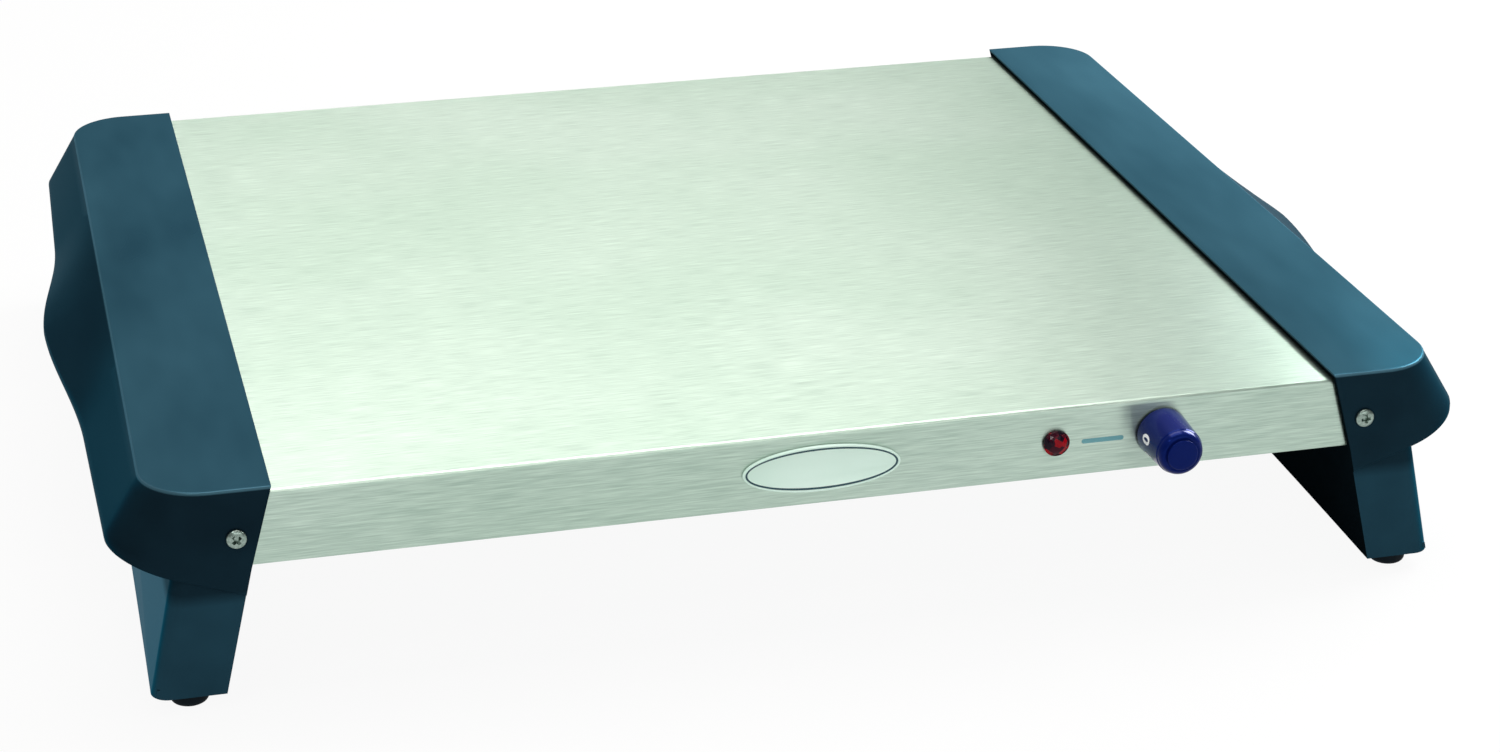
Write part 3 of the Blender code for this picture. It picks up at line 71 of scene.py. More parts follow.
# End cap; u runs outwards from the cap's inner top edge
CAP_X = 0.240
CAP_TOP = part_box("left_end_cap")[1][2]
CAP_WALL = 0.0025
CAP_FRONT = 0.2513
CAP_TOP_WIDTH = 0.054
CAP_CORNER_RADIUS = 0.028
CAP_EDGE_ROUND = 0.0012
SKIRT_FLARE = 0.0156
SKIRT_DROP = 0.050
SKIRT_DROP_REACH = 0.014
SKIRT_RISE_SHARE = 0.36
SKIRT_EDGE_UPRIGHT = 0.0035
SKIRT_LIP_ROUND = 0.0009
HANDLE_SWELL = 0.0134
HANDLE_HALF_LENGTH = 0.122
HANDLE_HUMP_SHARE = 0.65
INNER_SPLAY_TRAY = 0.0104
INNER_SPLAY_LEG = 0.0138
LEG_CLEARANCE = 0.0072
LEG_TOP_WIDTH = 0.036
LEG_OUTER_SPLAY = 0.0203
LEG_FRONT = 0.2503
LEG_CORNER_RADIUS = 0.008
LEG_ARCH = 0.0058
LEG_EDGE_ROUND = 0.0005
RIB_COUNT = 7
RIB_THICKNESS = 0.002
FOOT_WEB_LENGTH = 0.027
FOOT_REACH = 0.0395
OVERRUN = 0.004  # how far a cutting tool passes the surface
PAINTED_LEG_LIGHT_ZONE = (0.056, 0.050)  # heights between which the skirt's darker colour gives way to the leg's lighter one, painted light, and the skirt's lower lustre to the leg's
PAINTED_HIGHLIGHT_RIM_ZONE = (0.1020, 0.1026)  # heights between which the painted highlight along the rounded top edge starts
SCREW_HOLE = (0.016, 0.019)  # u, and depth under the heated surface
STEM_INSET = 0.0123

# Screws: shank radius, length, head radius, head height
CAP_SCREW = (0.0020, 0.0095, 0.0044, 0.0024)
COVER_SCREW = (0.0017, 0.0060, 0.0036, 0.0013)
COVER_SCREW_SEAT = 0.0020  # above the bottom of the CAD's head

# Knob
KNOB_REAR = KNOB_HIGH[1]
KNOB_LENGTH = 0.0255
KNOB_SHOULDER = 0.0040
KNOB_REAR_RADIUS = 0.0119
KNOB_FRONT_RADIUS = 0.0109
KNOB_BAND_RADIUS = 0.0078
KNOB_FACE_RADIUS = 0.0071
NUMBER_HEIGHT = 0.0070
NUMBER_ALONG = 0.0096
NUMBER_COUNT = 6
NUMBER_START = 171  # degrees round the side from +X, where the 0 stands
NUMBER_STEP = 40
NUMBER_PROUD = 0.00006

# Lamp, index line, plate and gland
LENS_FACETS = 14
INDEX_START, INDEX_END = 0.1207, 0.1407
INDEX_HALF_WIDTH = 0.0011
INDEX_DROP = 0.0010
INK_PROUD = 0.00008
INK_SUNK = 0.00004
PLATE_STUD_X = 0.022
GLAND_BODY_RADIUS = 0.0074
GLAND_FLANGE = 0.0030
GLAND_THREAD_PITCH = 0.0011


# Nodes and colours


def linear(text):
    """An sRGB hex colour as linear values with alpha 1."""
    shares = [int(text[i:i + 2], 16) / 255 for i in (1, 3, 5)]
    return (*[s / 12.92 if s <= 0.04045 else ((s + 0.055) / 1.055) ** 2.4 for s in shares], 1.0)


def add_node(tree, kind, settings=None, links=None):
    """A node with its sockets and attributes set, and its inputs linked from other outputs."""
    node = tree.nodes.new(kind)
    for name, value in (settings or {}).items():
        if isinstance(name, int) or name in node.inputs:
            node.inputs[name].default_value = value
        else:
            setattr(node, name, value)
    for name, source in (links or {}).items():
        tree.links.new(source, node.inputs[name])
    return node


def blank_material(name):
    made = bpy.data.materials.new(name)
    made.use_nodes = True
    made.node_tree.nodes.clear()
    return made, made.node_tree


def noise(tree, per_metre, detail=2.0, roughness=0.5):
    """Noise with its own count of grains per metre along X, Y and Z."""
    place = add_node(tree, "ShaderNodeTexCoord").outputs["Object"]
    where = add_node(tree, "ShaderNodeMapping", {"Scale": per_metre}, {"Vector": place}).outputs[0]
    settings = {"Scale": 1.0, "Detail": detail, "Roughness": roughness}
    return add_node(tree, "ShaderNodeTexNoise", settings, {"Vector": where}).outputs[0]


def ramp(tree, source, stops):
    """Colours or greys set along a value between 0 and 1."""
    node = add_node(tree, "ShaderNodeValToRGB", {}, {"Fac": source})
    band = node.color_ramp
    for i, (at, colour) in enumerate(stops):
        stop = band.elements[i] if i < 2 else band.elements.new(at)
        stop.position = at
        stop.color = linear(colour) if isinstance(colour, str) else (colour, colour, colour, 1)
    return node.outputs[0]


def spread(tree, source, low, high, start=0.0, full=1.0):
    """A value that runs from start to full made to run from low to high."""
    settings = {"From Min": start, "From Max": full, "To Min": low, "To Max": high}
    return add_node(tree, "ShaderNodeMapRange", settings, {"Value": source}).outputs[0]


def blend(tree, share, first, second):
    """One colour that gives way to another by a share."""
    return add_node(tree, "ShaderNodeMix", {"data_type": "RGBA"}, {0: share, 6: first, 7: second}).outputs[2]


def finish(tree, shader):
    add_node(tree, "ShaderNodeOutputMaterial", {}, {"Surface": shader.outputs[0]})


def relief(tree, height, distance, strength=1.0):
    settings = {"Strength": strength, "Distance": distance}
    return add_node(tree, "ShaderNodeBump", settings, {"Height": height}).outputs[0]


# Finishes


def brushed_stainless():
    """430 stainless sheet, belt-ground along its length.

    The grinding leaves short fine scratches, and a satin glow that spreads across them."""
    made, tree = blank_material("brushed_stainless")
    # 120 grit leaves lines about 0.1 mm apart; drawn at 0.6 mm and 2.4 mm so that they show
    fine = noise(tree, (60, 1700, 1700), 2.0, 0.55)
    broad = noise(tree, (20, 420, 420), 2.0, 0.5)
    cloud = noise(tree, (6, 8, 8), 2.0, 0.5)
    mix = add_node(tree, "ShaderNodeMix", {"Factor": 0.16}, {2: fine, 3: broad}).outputs[0]
    tone = ramp(tree, mix, [(0.32, "#a8bdb1"), (0.68, "#c8dbce")])
    tint = ramp(tree, cloud, [(0.35, "#f4f8f5"), (0.70, "#ffffff")])
    settings = {"data_type": "RGBA", "blend_type": "MULTIPLY", "Factor": 1.0}
    colour = add_node(tree, "ShaderNodeMix", settings, {6: tone, 7: tint}).outputs[2]
    rough = spread(tree, mix, 0.31, 0.40)
    around = add_node(tree, "ShaderNodeTangent", {"direction_type": "RADIAL", "axis": "X"})
    shader = add_node(tree, "ShaderNodeBsdfPrincipled", {"Metallic": 1.0, "Anisotropic": 0.85},
                      {"Base Color": colour, "Roughness": rough, "Tangent": around.outputs[0],
                       "Normal": relief(tree, mix, 0.00001, 0.15)})
    finish(tree, shader)
    return made


def moulded_plastic(name, dark, light, grain_mm, rough_low, rough_high,
                    gloss=0.5, lustre=0.0, edge="#ffffff"):
    """Injection-moulded plastic: an even body colour, fine tool grain and faint handling haze.

    Lustre is the share of its shine that takes the body's own colour. The edge colour tints that shine at
    a glancing look, and the plain gloss."""
    made, tree = blank_material(name)
    per = 1000 / grain_mm
    grain = noise(tree, (per, per, per), 2.0, 0.5)
    haze = noise(tree, (14, 9, 14), 3.0, 0.55)
    colour = ramp(tree, haze, [(0.30, dark), (0.75, light)])
    rough = spread(tree, haze, rough_low, rough_high)
    settings = {"IOR": 1.5, "Specular IOR Level": gloss, "Metallic": lustre, "Specular Tint": linear(edge)}
    shader = add_node(tree, "ShaderNodeBsdfPrincipled", settings,
                      {"Base Color": colour, "Roughness": rough,
                       "Normal": relief(tree, grain, 0.00002, 0.35)})
    finish(tree, shader)
    return made


def cap_polypropylene():
    """Black-filled polypropylene from a fine satin tool, with light and shade painted into its colour:
    up-facing faces painted paler (painted light), faces that look to the tray's middle painted dark and dull
    (painted shade), and a painted highlight along the rounded top edge. The leg is painted lighter than the
    skirt (painted light) and keeps more of the tool's blue-green lustre. All its shine is lustre in the
    body's own colour, so the plain gloss is 0."""
    made, tree = blank_material("cap_polypropylene")
    # the tool's grain is 0.1 to 0.2 mm; drawn at 0.4 mm so that it shows
    grain = noise(tree, (2500, 2500, 2500), 2.0, 0.5)
    wipes = noise(tree, (16, 5, 16), 3.0, 0.55)
    place = add_node(tree, "ShaderNodeTexCoord").outputs["Object"]
    place = add_node(tree, "ShaderNodeSeparateXYZ", {}, {"Vector": place}).outputs
    normal = add_node(tree, "ShaderNodeNewGeometry").outputs["Normal"]
    normal = add_node(tree, "ShaderNodeSeparateXYZ", {}, {"Vector": normal}).outputs
    # top: share of painted light that makes up-facing faces paler
    top = spread(tree, normal["Z"], 0, 1, 0.88, 0.99)
    # leg: share towards the leg, where painted light makes the colour lighter and the lustre rises
    leg = spread(tree, place["Z"], 0, 1, *PAINTED_LEG_LIGHT_ZONE)
    # rim: share of the painted highlight along the rounded top edge
    rim = spread(tree, place["Z"], 0, 1, *PAINTED_HIGHLIGHT_RIM_ZONE)
    # the product is negative where a face looks to the tray's middle; those faces get painted shade, a
    # near-black colour, and are made matte
    inward_painted_shade = add_node(tree, "ShaderNodeMath", {"operation": "MULTIPLY"}, {0: place["X"], 1: normal["X"]})
    inward_painted_shade = spread(tree, inward_painted_shade.outputs[0], 0, 1, -0.05, -0.15)
    skirt_colour = ramp(tree, wipes, [(0.30, "#0f1e27"), (0.75, "#162c37")])
    # the leg's colour: lighter than the skirt's, painted light
    leg_painted_light_colour = ramp(tree, wipes, [(0.30, "#172f3b"), (0.75, "#21404e")])
    # the paler colour of up-facing faces, painted light
    top_painted_light_colour = ramp(tree, wipes, [(0.30, "#1f3a46"), (0.75, "#2f4f5c")])
    # near-black painted shade on faces that look to the tray's middle
    painted_shade_colour = ramp(tree, wipes, [(0.30, "#080f13"), (0.75, "#0d181d")])
    # a pale painted highlight along the rim
    rim_painted_highlight_colour = ramp(tree, wipes, [(0.30, "#34545f"), (0.75, "#46697a")])
    colour = blend(tree, inward_painted_shade, blend(tree, leg, skirt_colour, leg_painted_light_colour), painted_shade_colour)
    colour = blend(tree, top, blend(tree, rim, colour, rim_painted_highlight_colour), top_painted_light_colour)
    lustre = add_node(tree, "ShaderNodeMapRange", {"To Max": 0.0},
                      {"Value": inward_painted_shade, "To Min": spread(tree, leg, 0.29, 0.60)}).outputs[0]
    rough = add_node(tree, "ShaderNodeMapRange", {"To Max": 0.6},
                     {"Value": inward_painted_shade, "To Min": spread(tree, wipes, 0.24, 0.34)}).outputs[0]
    shader = add_node(tree, "ShaderNodeBsdfPrincipled",
                      {"IOR": 1.5, "Specular IOR Level": 0.0, "Specular Tint": linear("#a2d2e8")},
                      {"Base Color": colour, "Metallic": lustre, "Roughness": rough,
                       "Normal": relief(tree, grain, 0.00002, 0.35)})
    finish(tree, shader)
    return made


def plated_metal(name, dark, light, spot_mm, rough_low, rough_high):
    """Plated or coated metal: the base colour drifts over the piece, with small roughness spots."""
    made, tree = blank_material(name)
    per = 1000 / spot_mm
    spots = noise(tree, (per, per, per), 3.0, 0.6)
    colour = ramp(tree, spots, [(0.30, dark), (0.70, light)])
    rough = spread(tree, spots, rough_low, rough_high)
    shader = add_node(tree, "ShaderNodeBsdfPrincipled", {"Metallic": 1.0},
                      {"Base Color": colour, "Roughness": rough, "Normal": relief(tree, spots, 0.00002, 0.3)})
    finish(tree, shader)
    return made


def galvanised():
    """Hot-dip galvanised sheet: zinc spangle in flat crystals some 8 mm across, each its own grey."""
    made, tree = blank_material("galvanised_steel")
    place = add_node(tree, "ShaderNodeTexCoord").outputs["Object"]
    cells = add_node(tree, "ShaderNodeTexVoronoi", {"Scale": 125.0}, {"Vector": place})
    tone = add_node(tree, "ShaderNodeSeparateColor", {}, {"Color": cells.outputs["Color"]}).outputs[0]
    colour = ramp(tree, tone, [(0.0, "#9fa6a8"), (1.0, "#c3c9ca")])
    rough = spread(tree, tone, 0.32, 0.52)
    shader = add_node(tree, "ShaderNodeBsdfPrincipled", {"Metallic": 1.0},
                      {"Base Color": colour, "Roughness": rough,
                       "Normal": relief(tree, noise(tree, (900, 900, 900)), 0.00001, 0.3)})
    finish(tree, shader)
    return made


def red_acrylic():
    """Red acrylic jewel, injection moulded, under a clear skin: its inner facets are painted from near black
    to bright red, painted reflections of light in the jewel.
    """
    made, tree = blank_material("lamp_red_acrylic")
    place = add_node(tree, "ShaderNodeTexCoord").outputs["Object"]
    # the painted reflections of the jewel's inner facets are about 2 mm across
    cells = add_node(tree, "ShaderNodeTexVoronoi", {"Scale": 330.0}, {"Vector": place})
    tone = add_node(tree, "ShaderNodeSeparateColor", {}, {"Color": cells.outputs["Color"]}).outputs[0]
    colour = ramp(tree, tone, [(0.10, "#180818"), (0.50, "#400a1c"), (0.92, "#9c0a18")])
    shader = add_node(tree, "ShaderNodeBsdfPrincipled",
                      {"IOR": 1.49, "Transmission Weight": 0.05, "Specular IOR Level": 0.08},
                      {"Base Color": colour, "Roughness": spread(tree, tone, 0.08, 0.16)})
    finish(tree, shader)
    return made


def mineral_wool():
    """Rock wool slab with binder: matted pale fibres."""
    made, tree = blank_material("mineral_wool")
    fibre = noise(tree, (700, 160, 700), 5.0, 0.7)
    colour = ramp(tree, fibre, [(0.30, "#a8996a"), (0.70, "#ddd3a6")])
    shader = add_node(tree, "ShaderNodeBsdfPrincipled", {"Roughness": 0.95, "Sheen Weight": 0.3},
                      {"Base Color": colour, "Normal": relief(tree, fibre, 0.0006, 0.8)})
    finish(tree, shader)
    return made


def printed_ink(name, dark, light):
    """Pad-printed ink: a flat film with slightly thin spots."""
    made, tree = blank_material(name)
    film = noise(tree, (2500, 2500, 2500), 2.0, 0.5)
    shader = add_node(tree, "ShaderNodeBsdfPrincipled", {"IOR": 1.48},
                      {"Base Color": ramp(tree, film, [(0.3, dark), (0.7, light)]),
                       "Roughness": spread(tree, film, 0.35, 0.5)})
    finish(tree, shader)
    return made


# Mesh building


def mesh_of(shape):
    bmesh.ops.recalc_face_normals(shape, faces=shape.faces)
    mesh = bpy.data.meshes.new("shape")
    shape.to_mesh(mesh)
    shape.free()
    return mesh


def loft(rings):
    """A closed solid through rings of points, each with as many points as the first."""
    shape = bmesh.new()
    rows = [[shape.verts.new(point) for point in ring] for ring in rings]
    count = len(rows[0])
    for lower, upper in zip(rows, rows[1:]):
        for i in range(count):
            j = (i + 1) % count
            shape.faces.new((lower[i], lower[j], upper[j], upper[i]))
    shape.faces.new(rows[0])
    shape.faces.new(list(reversed(rows[-1])))
    return mesh_of(shape)


def prism_along_x(outline, start, end):
    return loft([[(x, y, z) for y, z in outline] for x in (start, end)])


def prism_along_y(outline, start, end):
    return loft([[(x, y, z) for x, z in outline] for y in (start, end)])


def turned(profile, steps=64):
    """A solid of revolution about Z from a closed run of (radius, height) points."""
    shape = bmesh.new()
    rows = []
    for radius, height in profile:
        angles = [2 * math.pi * i / steps for i in range(steps if radius else 1)]
        rows.append([shape.verts.new((radius * math.cos(a), radius * math.sin(a), height)) for a in angles])
    for one, other in zip(rows, rows[1:] + rows[:1]):
        if len(one) == len(other) == 1:
            continue
        for i in range(steps):
            j = (i + 1) % steps
            corners = [one[i % len(one)], one[j % len(one)], other[j % len(other)], other[i % len(other)]]
            shape.faces.new(list(dict.fromkeys(corners)))
    return mesh_of(shape)


def rod(radius, start, end, steps=32):
    return turned([(0, start), (radius, start), (radius, end), (0, end)], steps)


def arc(centre, radius, start, end, steps):
    angles = [start + (end - start) * i / steps for i in range(steps + 1)]
    return [(centre[0] + radius * math.cos(a), centre[1] + radius * math.sin(a)) for a in angles]


def moved(mesh, place_at, turn=None):
    mesh.transform(Matrix.Translation(place_at) @ (turn or Matrix.Identity(4)))
    return mesh


def joined(first, second, operation):
    """The result of a Boolean between two meshes."""
    body = bpy.data.objects.new("body", first)
    tool = bpy.data.objects.new("tool", second)
    for thing in (body, tool):
        bpy.context.scene.collection.objects.link(thing)
    step = body.modifiers.new("boolean", "BOOLEAN")
    step.operation = operation
    step.solver = "EXACT"
    step.object = tool
    state = bpy.context.evaluated_depsgraph_get()
    result = bpy.data.meshes.new_from_object(body.evaluated_get(state))
    for thing in (body, tool):
        bpy.data.objects.remove(thing, do_unlink=True)
    return result


def cut(mesh, *tools):
    for tool in tools:
        mesh = joined(mesh, tool, "DIFFERENCE")
    return mesh


def fused(mesh, *tools):
    for tool in tools:
        mesh = joined(mesh, tool, "UNION")
    return mesh


def facing(direction):
    """A turn that points a shape's +Z along a direction."""
    return Vector(direction).to_track_quat("Z", "Y").to_matrix().to_4x4()


FORWARD = facing((0, -1, 0))
BACKWARD = facing((0, 1, 0))
DOWNWARD = Matrix.Rotation(math.pi, 4, "X")


def together(*meshes):
    """Several meshes as one, left apart where they touch."""
    shape = bmesh.new()
    for mesh in meshes:
        shape.from_mesh(mesh)
    return mesh_of(shape)


def add_piece(name, mesh, material, body, slot, *nodes, angle=35):
    """A piece of the dressed model: its mesh, finish, body, and the CAD nodes that it stands for."""
    mesh.shade_smooth()
    mesh.set_sharp_from_angle(angle=math.radians(angle))
    mesh.materials.clear()
    mesh.materials.append(material)
    piece = bpy.data.objects.new(name, mesh)
    bpy.context.scene.collection.objects.link(piece)
    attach(piece, body)
    if nodes:
        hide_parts(*nodes)
    return piece


# End caps


def inner_edge(z):
    """u of the cap's inner edge at a height."""
    if z > TRAY_BOTTOM:
        return INNER_SPLAY_TRAY * (CAP_TOP - z) / (CAP_TOP - TRAY_BOTTOM)
    return INNER_SPLAY_TRAY + INNER_SPLAY_LEG * (TRAY_BOTTOM - z) / (TRAY_BOTTOM - LEG_CLEARANCE)


def leg_outer(z):
    return LEG_TOP_WIDTH + LEG_OUTER_SPLAY * (HEATED_HEIGHT - z) / (HEATED_HEIGHT - LEG_CLEARANCE)


def skirt_edge(u):
    return CAP_TOP - SKIRT_DROP + SKIRT_RISE_SHARE * (u - SKIRT_DROP_REACH)


def handle_swell(y, straight):
    hump = math.cos(math.pi / 2 * min(abs(y) / HANDLE_HALF_LENGTH, 1)) ** 2
    slope = 1 - min(abs(y) / straight, 1)
    return HANDLE_SWELL * (HANDLE_HUMP_SHARE * hump + (1 - HANDLE_HUMP_SHARE) * slope)


def skirt_outline(width, swell_share, inset):
    """(u, y) points of the skirt in plan, from the front's inner end round to the rear's."""
    radius = CAP_CORNER_RADIUS - inset
    corner_u = width - CAP_CORNER_RADIUS
    corner_y = CAP_FRONT - CAP_CORNER_RADIUS
    front = arc((corner_u, -corner_y), radius, -math.pi / 2, 0, 18)
    rear = arc((corner_u, corner_y), radius, 0, math.pi / 2, 18)
    side = []
    for i in range(1, 72):
        y = corner_y * (2 * i / 72 - 1)
        side.append((width - inset + swell_share * handle_swell(y, corner_y), y))
    return [(-OVERRUN, -corner_y - radius)] + front + side + rear + [(-OVERRUN, corner_y + radius)]


def skirt_ring(share, inset, rise):
    """A ring of the skirt at a share of its fall from the rounded top edge to the upright band."""
    plan = skirt_outline(CAP_TOP_WIDTH + SKIRT_FLARE * share, share, inset)
    low_plan = skirt_outline(CAP_TOP_WIDTH + SKIRT_FLARE, 1, inset)
    ring = []
    for (u, y), (low_u, _) in zip(plan, low_plan):
        top = CAP_TOP - CAP_EDGE_ROUND
        low = skirt_edge(low_u) + SKIRT_EDGE_UPRIGHT
        ring.append((u, y, top + (low - top) * share + rise))
    return ring


def skirt_shell():
    """The lid and skirt as one wall, its top edge and lower lip rounded."""
    rings = []
    for i in range(5):
        turn = math.pi / 2 * i / 5
        plan = skirt_outline(CAP_TOP_WIDTH, 0, CAP_EDGE_ROUND * (1 - math.sin(turn)))
        rings.append([(u, y, CAP_TOP - CAP_EDGE_ROUND * (1 - math.cos(turn))) for u, y in plan])
    rings += [skirt_ring(share, 0, 0) for share in (0, 0.15, 0.35, 0.6, 0.8, 0.92, 0.985)]
    rings.append(skirt_ring(1, 0, -0.0008))
    r = SKIRT_LIP_ROUND
    rings += [skirt_ring(1, r * (1 - math.cos(a)), r - SKIRT_EDGE_UPRIGHT - r * math.sin(a))
              for a in (0, math.pi / 8, math.pi / 4, math.pi * 3 / 8, math.pi / 2)]
    outer = loft(rings)
    wall = CAP_WALL
    plan = skirt_outline(CAP_TOP_WIDTH, 0, wall)
    rings = [[(u, y, CAP_TOP - wall) for u, y in plan]]
    rings += [skirt_ring(share, wall, 0) for share in (0.15, 0.35, 0.6, 0.8, 0.92)]
    rings += [skirt_ring(1, wall - r * (1 - math.cos(a)), r - SKIRT_EDGE_UPRIGHT - r * math.sin(a))
              for a in (0, math.pi / 4, math.pi / 2)]
    rings.append(skirt_ring(1, wall - r, -SKIRT_EDGE_UPRIGHT - OVERRUN))
    inner = loft([[(u - (OVERRUN if u < 0 else 0), y, z) for u, y, z in ring] for ring in rings])
    return cut(outer, inner)


def leg_outline(z, inner, inset):
    u = leg_outer(z) - inset
    y = LEG_FRONT - inset
    radius = LEG_CORNER_RADIUS - inset
    front = arc((u - radius, radius - y), radius, -math.pi / 2, 0, 10)
    rear = arc((u - radius, y - radius), radius, 0, math.pi / 2, 10)
    return [(p, q, z) for p, q in [(inner, -y)] + front + rear + [(inner, y)]]


def leg_shell():
    """The hollow leg, cut out for the end of the tray."""
    leg = loft([leg_outline(z, -OVERRUN, 0) for z in (CAP_TOP - CAP_WALL / 2, LEG_CLEARANCE - OVERRUN)])
    ledge = TRAY_BOTTOM - FIT
    low = LEG_CLEARANCE - 2 * OVERRUN
    high = ledge + CAP_WALL
    outline = [(inner_edge(z) + CAP_WALL, z) for z in (low, TRAY_BOTTOM, high)]
    outline += [(leg_outer(z) - CAP_WALL, z) for z in (high, low)]
    reach = LEG_FRONT - CAP_WALL
    leg = cut(leg, prism_along_y(outline, -reach, reach))
    top = HEATED_HEIGHT + 0.0008
    wall = CAP_WALL - FIT
    outline = [(-2 * OVERRUN, ledge), (leg_outer(ledge) - wall, ledge)]
    outline += [(leg_outer(top) - wall, top), (-2 * OVERRUN, top)]
    reach = TRAY_HIGH[1] - MIDDLE_Y + FIT
    return cut(leg, prism_along_y(outline, -reach, reach))


def arch_cutter():
    steps = 40
    reach = LEG_FRONT + OVERRUN
    outline = []
    for i in range(steps + 1):
        y = reach * (2 * i / steps - 1)
        outline.append((y, LEG_CLEARANCE + LEG_ARCH * max(1 - (y / LEG_FRONT) ** 2, 0)))
    outline += [(reach, LEG_CLEARANCE - 3 * OVERRUN), (-reach, LEG_CLEARANCE - 3 * OVERRUN)]
    return prism_along_x(outline, 0, CAP_TOP_WIDTH + SKIRT_FLARE)


def inner_cutter():
    high = CAP_TOP + OVERRUN
    low = LEG_CLEARANCE - 3 * OVERRUN
    outline = [(inner_edge(z), z) for z in (high, TRAY_BOTTOM, low)]
    outline += [(-3 * OVERRUN, low), (-3 * OVERRUN, high)]
    return prism_along_y(outline, -CAP_FRONT - OVERRUN, CAP_FRONT + OVERRUN)


def leg_rib(y):
    low = LEG_CLEARANCE + 0.010
    high = CAP_TOP - CAP_WALL + 0.0008
    ledge = TRAY_BOTTOM - 2 * FIT
    set_in = CAP_WALL - 0.0008
    outline = [(inner_edge(low) + set_in, low), (leg_outer(low) - set_in, low)]
    outline += [(leg_outer(high) - set_in, high), (0.0283, high)]
    outline += [(0.0283, ledge), (inner_edge(ledge) + set_in, ledge)]
    return prism_along_y(outline, y - RIB_THICKNESS / 2, y + RIB_THICKNESS / 2)


def foot_web(side):
    low = LEG_CLEARANCE + 0.0014
    high = low + 0.003
    set_in = CAP_WALL - 0.0008
    outline = [(inner_edge(low) + set_in, low), (leg_outer(low) - set_in, low)]
    outline += [(leg_outer(high) - set_in, high), (inner_edge(high) + set_in, high)]
    outer = LEG_FRONT - set_in
    return prism_along_y(outline, *sorted((side * (outer - FOOT_WEB_LENGTH), side * outer)))


def rounded_inner_edges(mesh):
    """The mesh with the edges along the cap's inner face softened as the mould leaves them."""
    shape = bmesh.new()
    shape.from_mesh(mesh)

    def on_inner_face(vert):
        return abs(vert.co.x - inner_edge(vert.co.z)) < 0.00002

    chosen = []
    for edge in shape.edges:
        if len(edge.link_faces) != 2 or not all(on_inner_face(v) for v in edge.verts):
            continue
        if edge.link_faces[0].normal.dot(edge.link_faces[1].normal) > 0.8:
            continue
        top = all(v.co.z > CAP_TOP - 0.0001 for v in edge.verts)
        face = all(abs(v.co.y) > LEG_FRONT - 0.0001 for v in edge.verts)
        if edge.calc_length() > 0.003 and (top or face):
            chosen.append(edge)
    bmesh.ops.bevel(shape, geom=chosen, offset=LEG_EDGE_ROUND, segments=3, affect="EDGES", profile=0.5,
                    clamp_overlap=True)
    return mesh_of(shape)


def cap_mesh():
    mesh = fused(skirt_shell(), leg_shell())
    mesh = cut(mesh, arch_cutter(), inner_cutter())
    reach = LEG_FRONT - FOOT_WEB_LENGTH
    for i in range(RIB_COUNT):
        mesh = fused(mesh, leg_rib(reach * (2 * (i + 1) / (RIB_COUNT + 1) - 1)))
    for side, turn in ((-1, FORWARD), (1, BACKWARD)):
        mesh = fused(mesh, foot_web(side))
        stem = moved(rod(0.0031, 0, 0.024), (FOOT_REACH, side * (LEG_FRONT - STEM_INSET), 0))
        hole = rod(0.0023, CAP_FRONT - 0.008, CAP_FRONT + OVERRUN)
        moved(hole, (SCREW_HOLE[0], 0, HEATED_HEIGHT - SCREW_HOLE[1]), turn)
        mesh = cut(mesh, stem, hole)
    return rounded_inner_edges(mesh)


def make_caps(plastic):
    right = cap_mesh()
    left = right.copy()
    left.transform(Matrix.Scale(-1, 4, (1, 0, 0)))
    left = together(left)
    for name, mesh, side in (("right_end_cap", right, 1), ("left_end_cap", left, -1)):
        moved(mesh, (side * CAP_X, MIDDLE_Y, 0))
        add_piece(f"{name}_moulding", mesh, plastic, "tray", "cap_plastic", name, angle=28)


# Feet and screws


def make_feet(rubber):
    for place in ("front_left", "front_right", "rear_left", "rear_right"):
        name = f"foot_{place}"
        low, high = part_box(name)
        radius = (high[0] - low[0]) / 2
        profile = [(0, 0), (radius * 0.55, 0.00015)]
        profile += arc((radius - 0.0027, 0.0028), 0.0027, -math.pi / 2 + 0.15, 0, 8)
        profile += [(radius, 0.0066), (radius - 0.0004, 0.0072), (radius - 0.0016, 0.0078), (0.0028, 0.0080)]
        profile += [(0.0028, 0.0119), (0.0040, 0.0119), (0.0037, 0.0128), (0.0028, high[2]), (0, high[2])]
        mesh = moved(turned(profile, 48), ((low[0] + high[0]) / 2, (low[1] + high[1]) / 2, 0))
        add_piece(f"{name}_bumper", mesh, rubber, "tray", "foot_rubber", name)


def pan_head_screw(radius, length, head_radius, head_height):
    """A pan-head screw along Z with a cross recess; its head stands above z = 0."""
    profile = [(0, -length), (radius * 0.7, -length), (radius, radius * 0.4 - length), (radius, 0)]
    profile += [(head_radius - 0.0002, 0), (head_radius, 0.0002)]
    for i in range(9):
        turn = math.pi / 2 * i / 8
        profile.append((head_radius * math.cos(turn), head_height * (0.35 + 0.65 * math.sin(turn))))
    profile[-1] = (0, head_height)
    mesh = turned(profile, 48)
    long, wide, deep = head_radius * 0.64, head_radius * 0.19, head_height * 0.8
    for turn in (0, math.pi / 2):
        blade = loft([[(s * x, t * y, z) for s, t in ((-1, -1), (1, -1), (1, 1), (-1, 1))]
                      for x, y, z in ((long * 0.35, wide * 0.7, head_height - deep),
                                      (long, wide, head_height + 0.0005))])
        blade.transform(Matrix.Rotation(turn + 0.3, 4, "Z"))
        mesh = cut(mesh, blade)
    return mesh


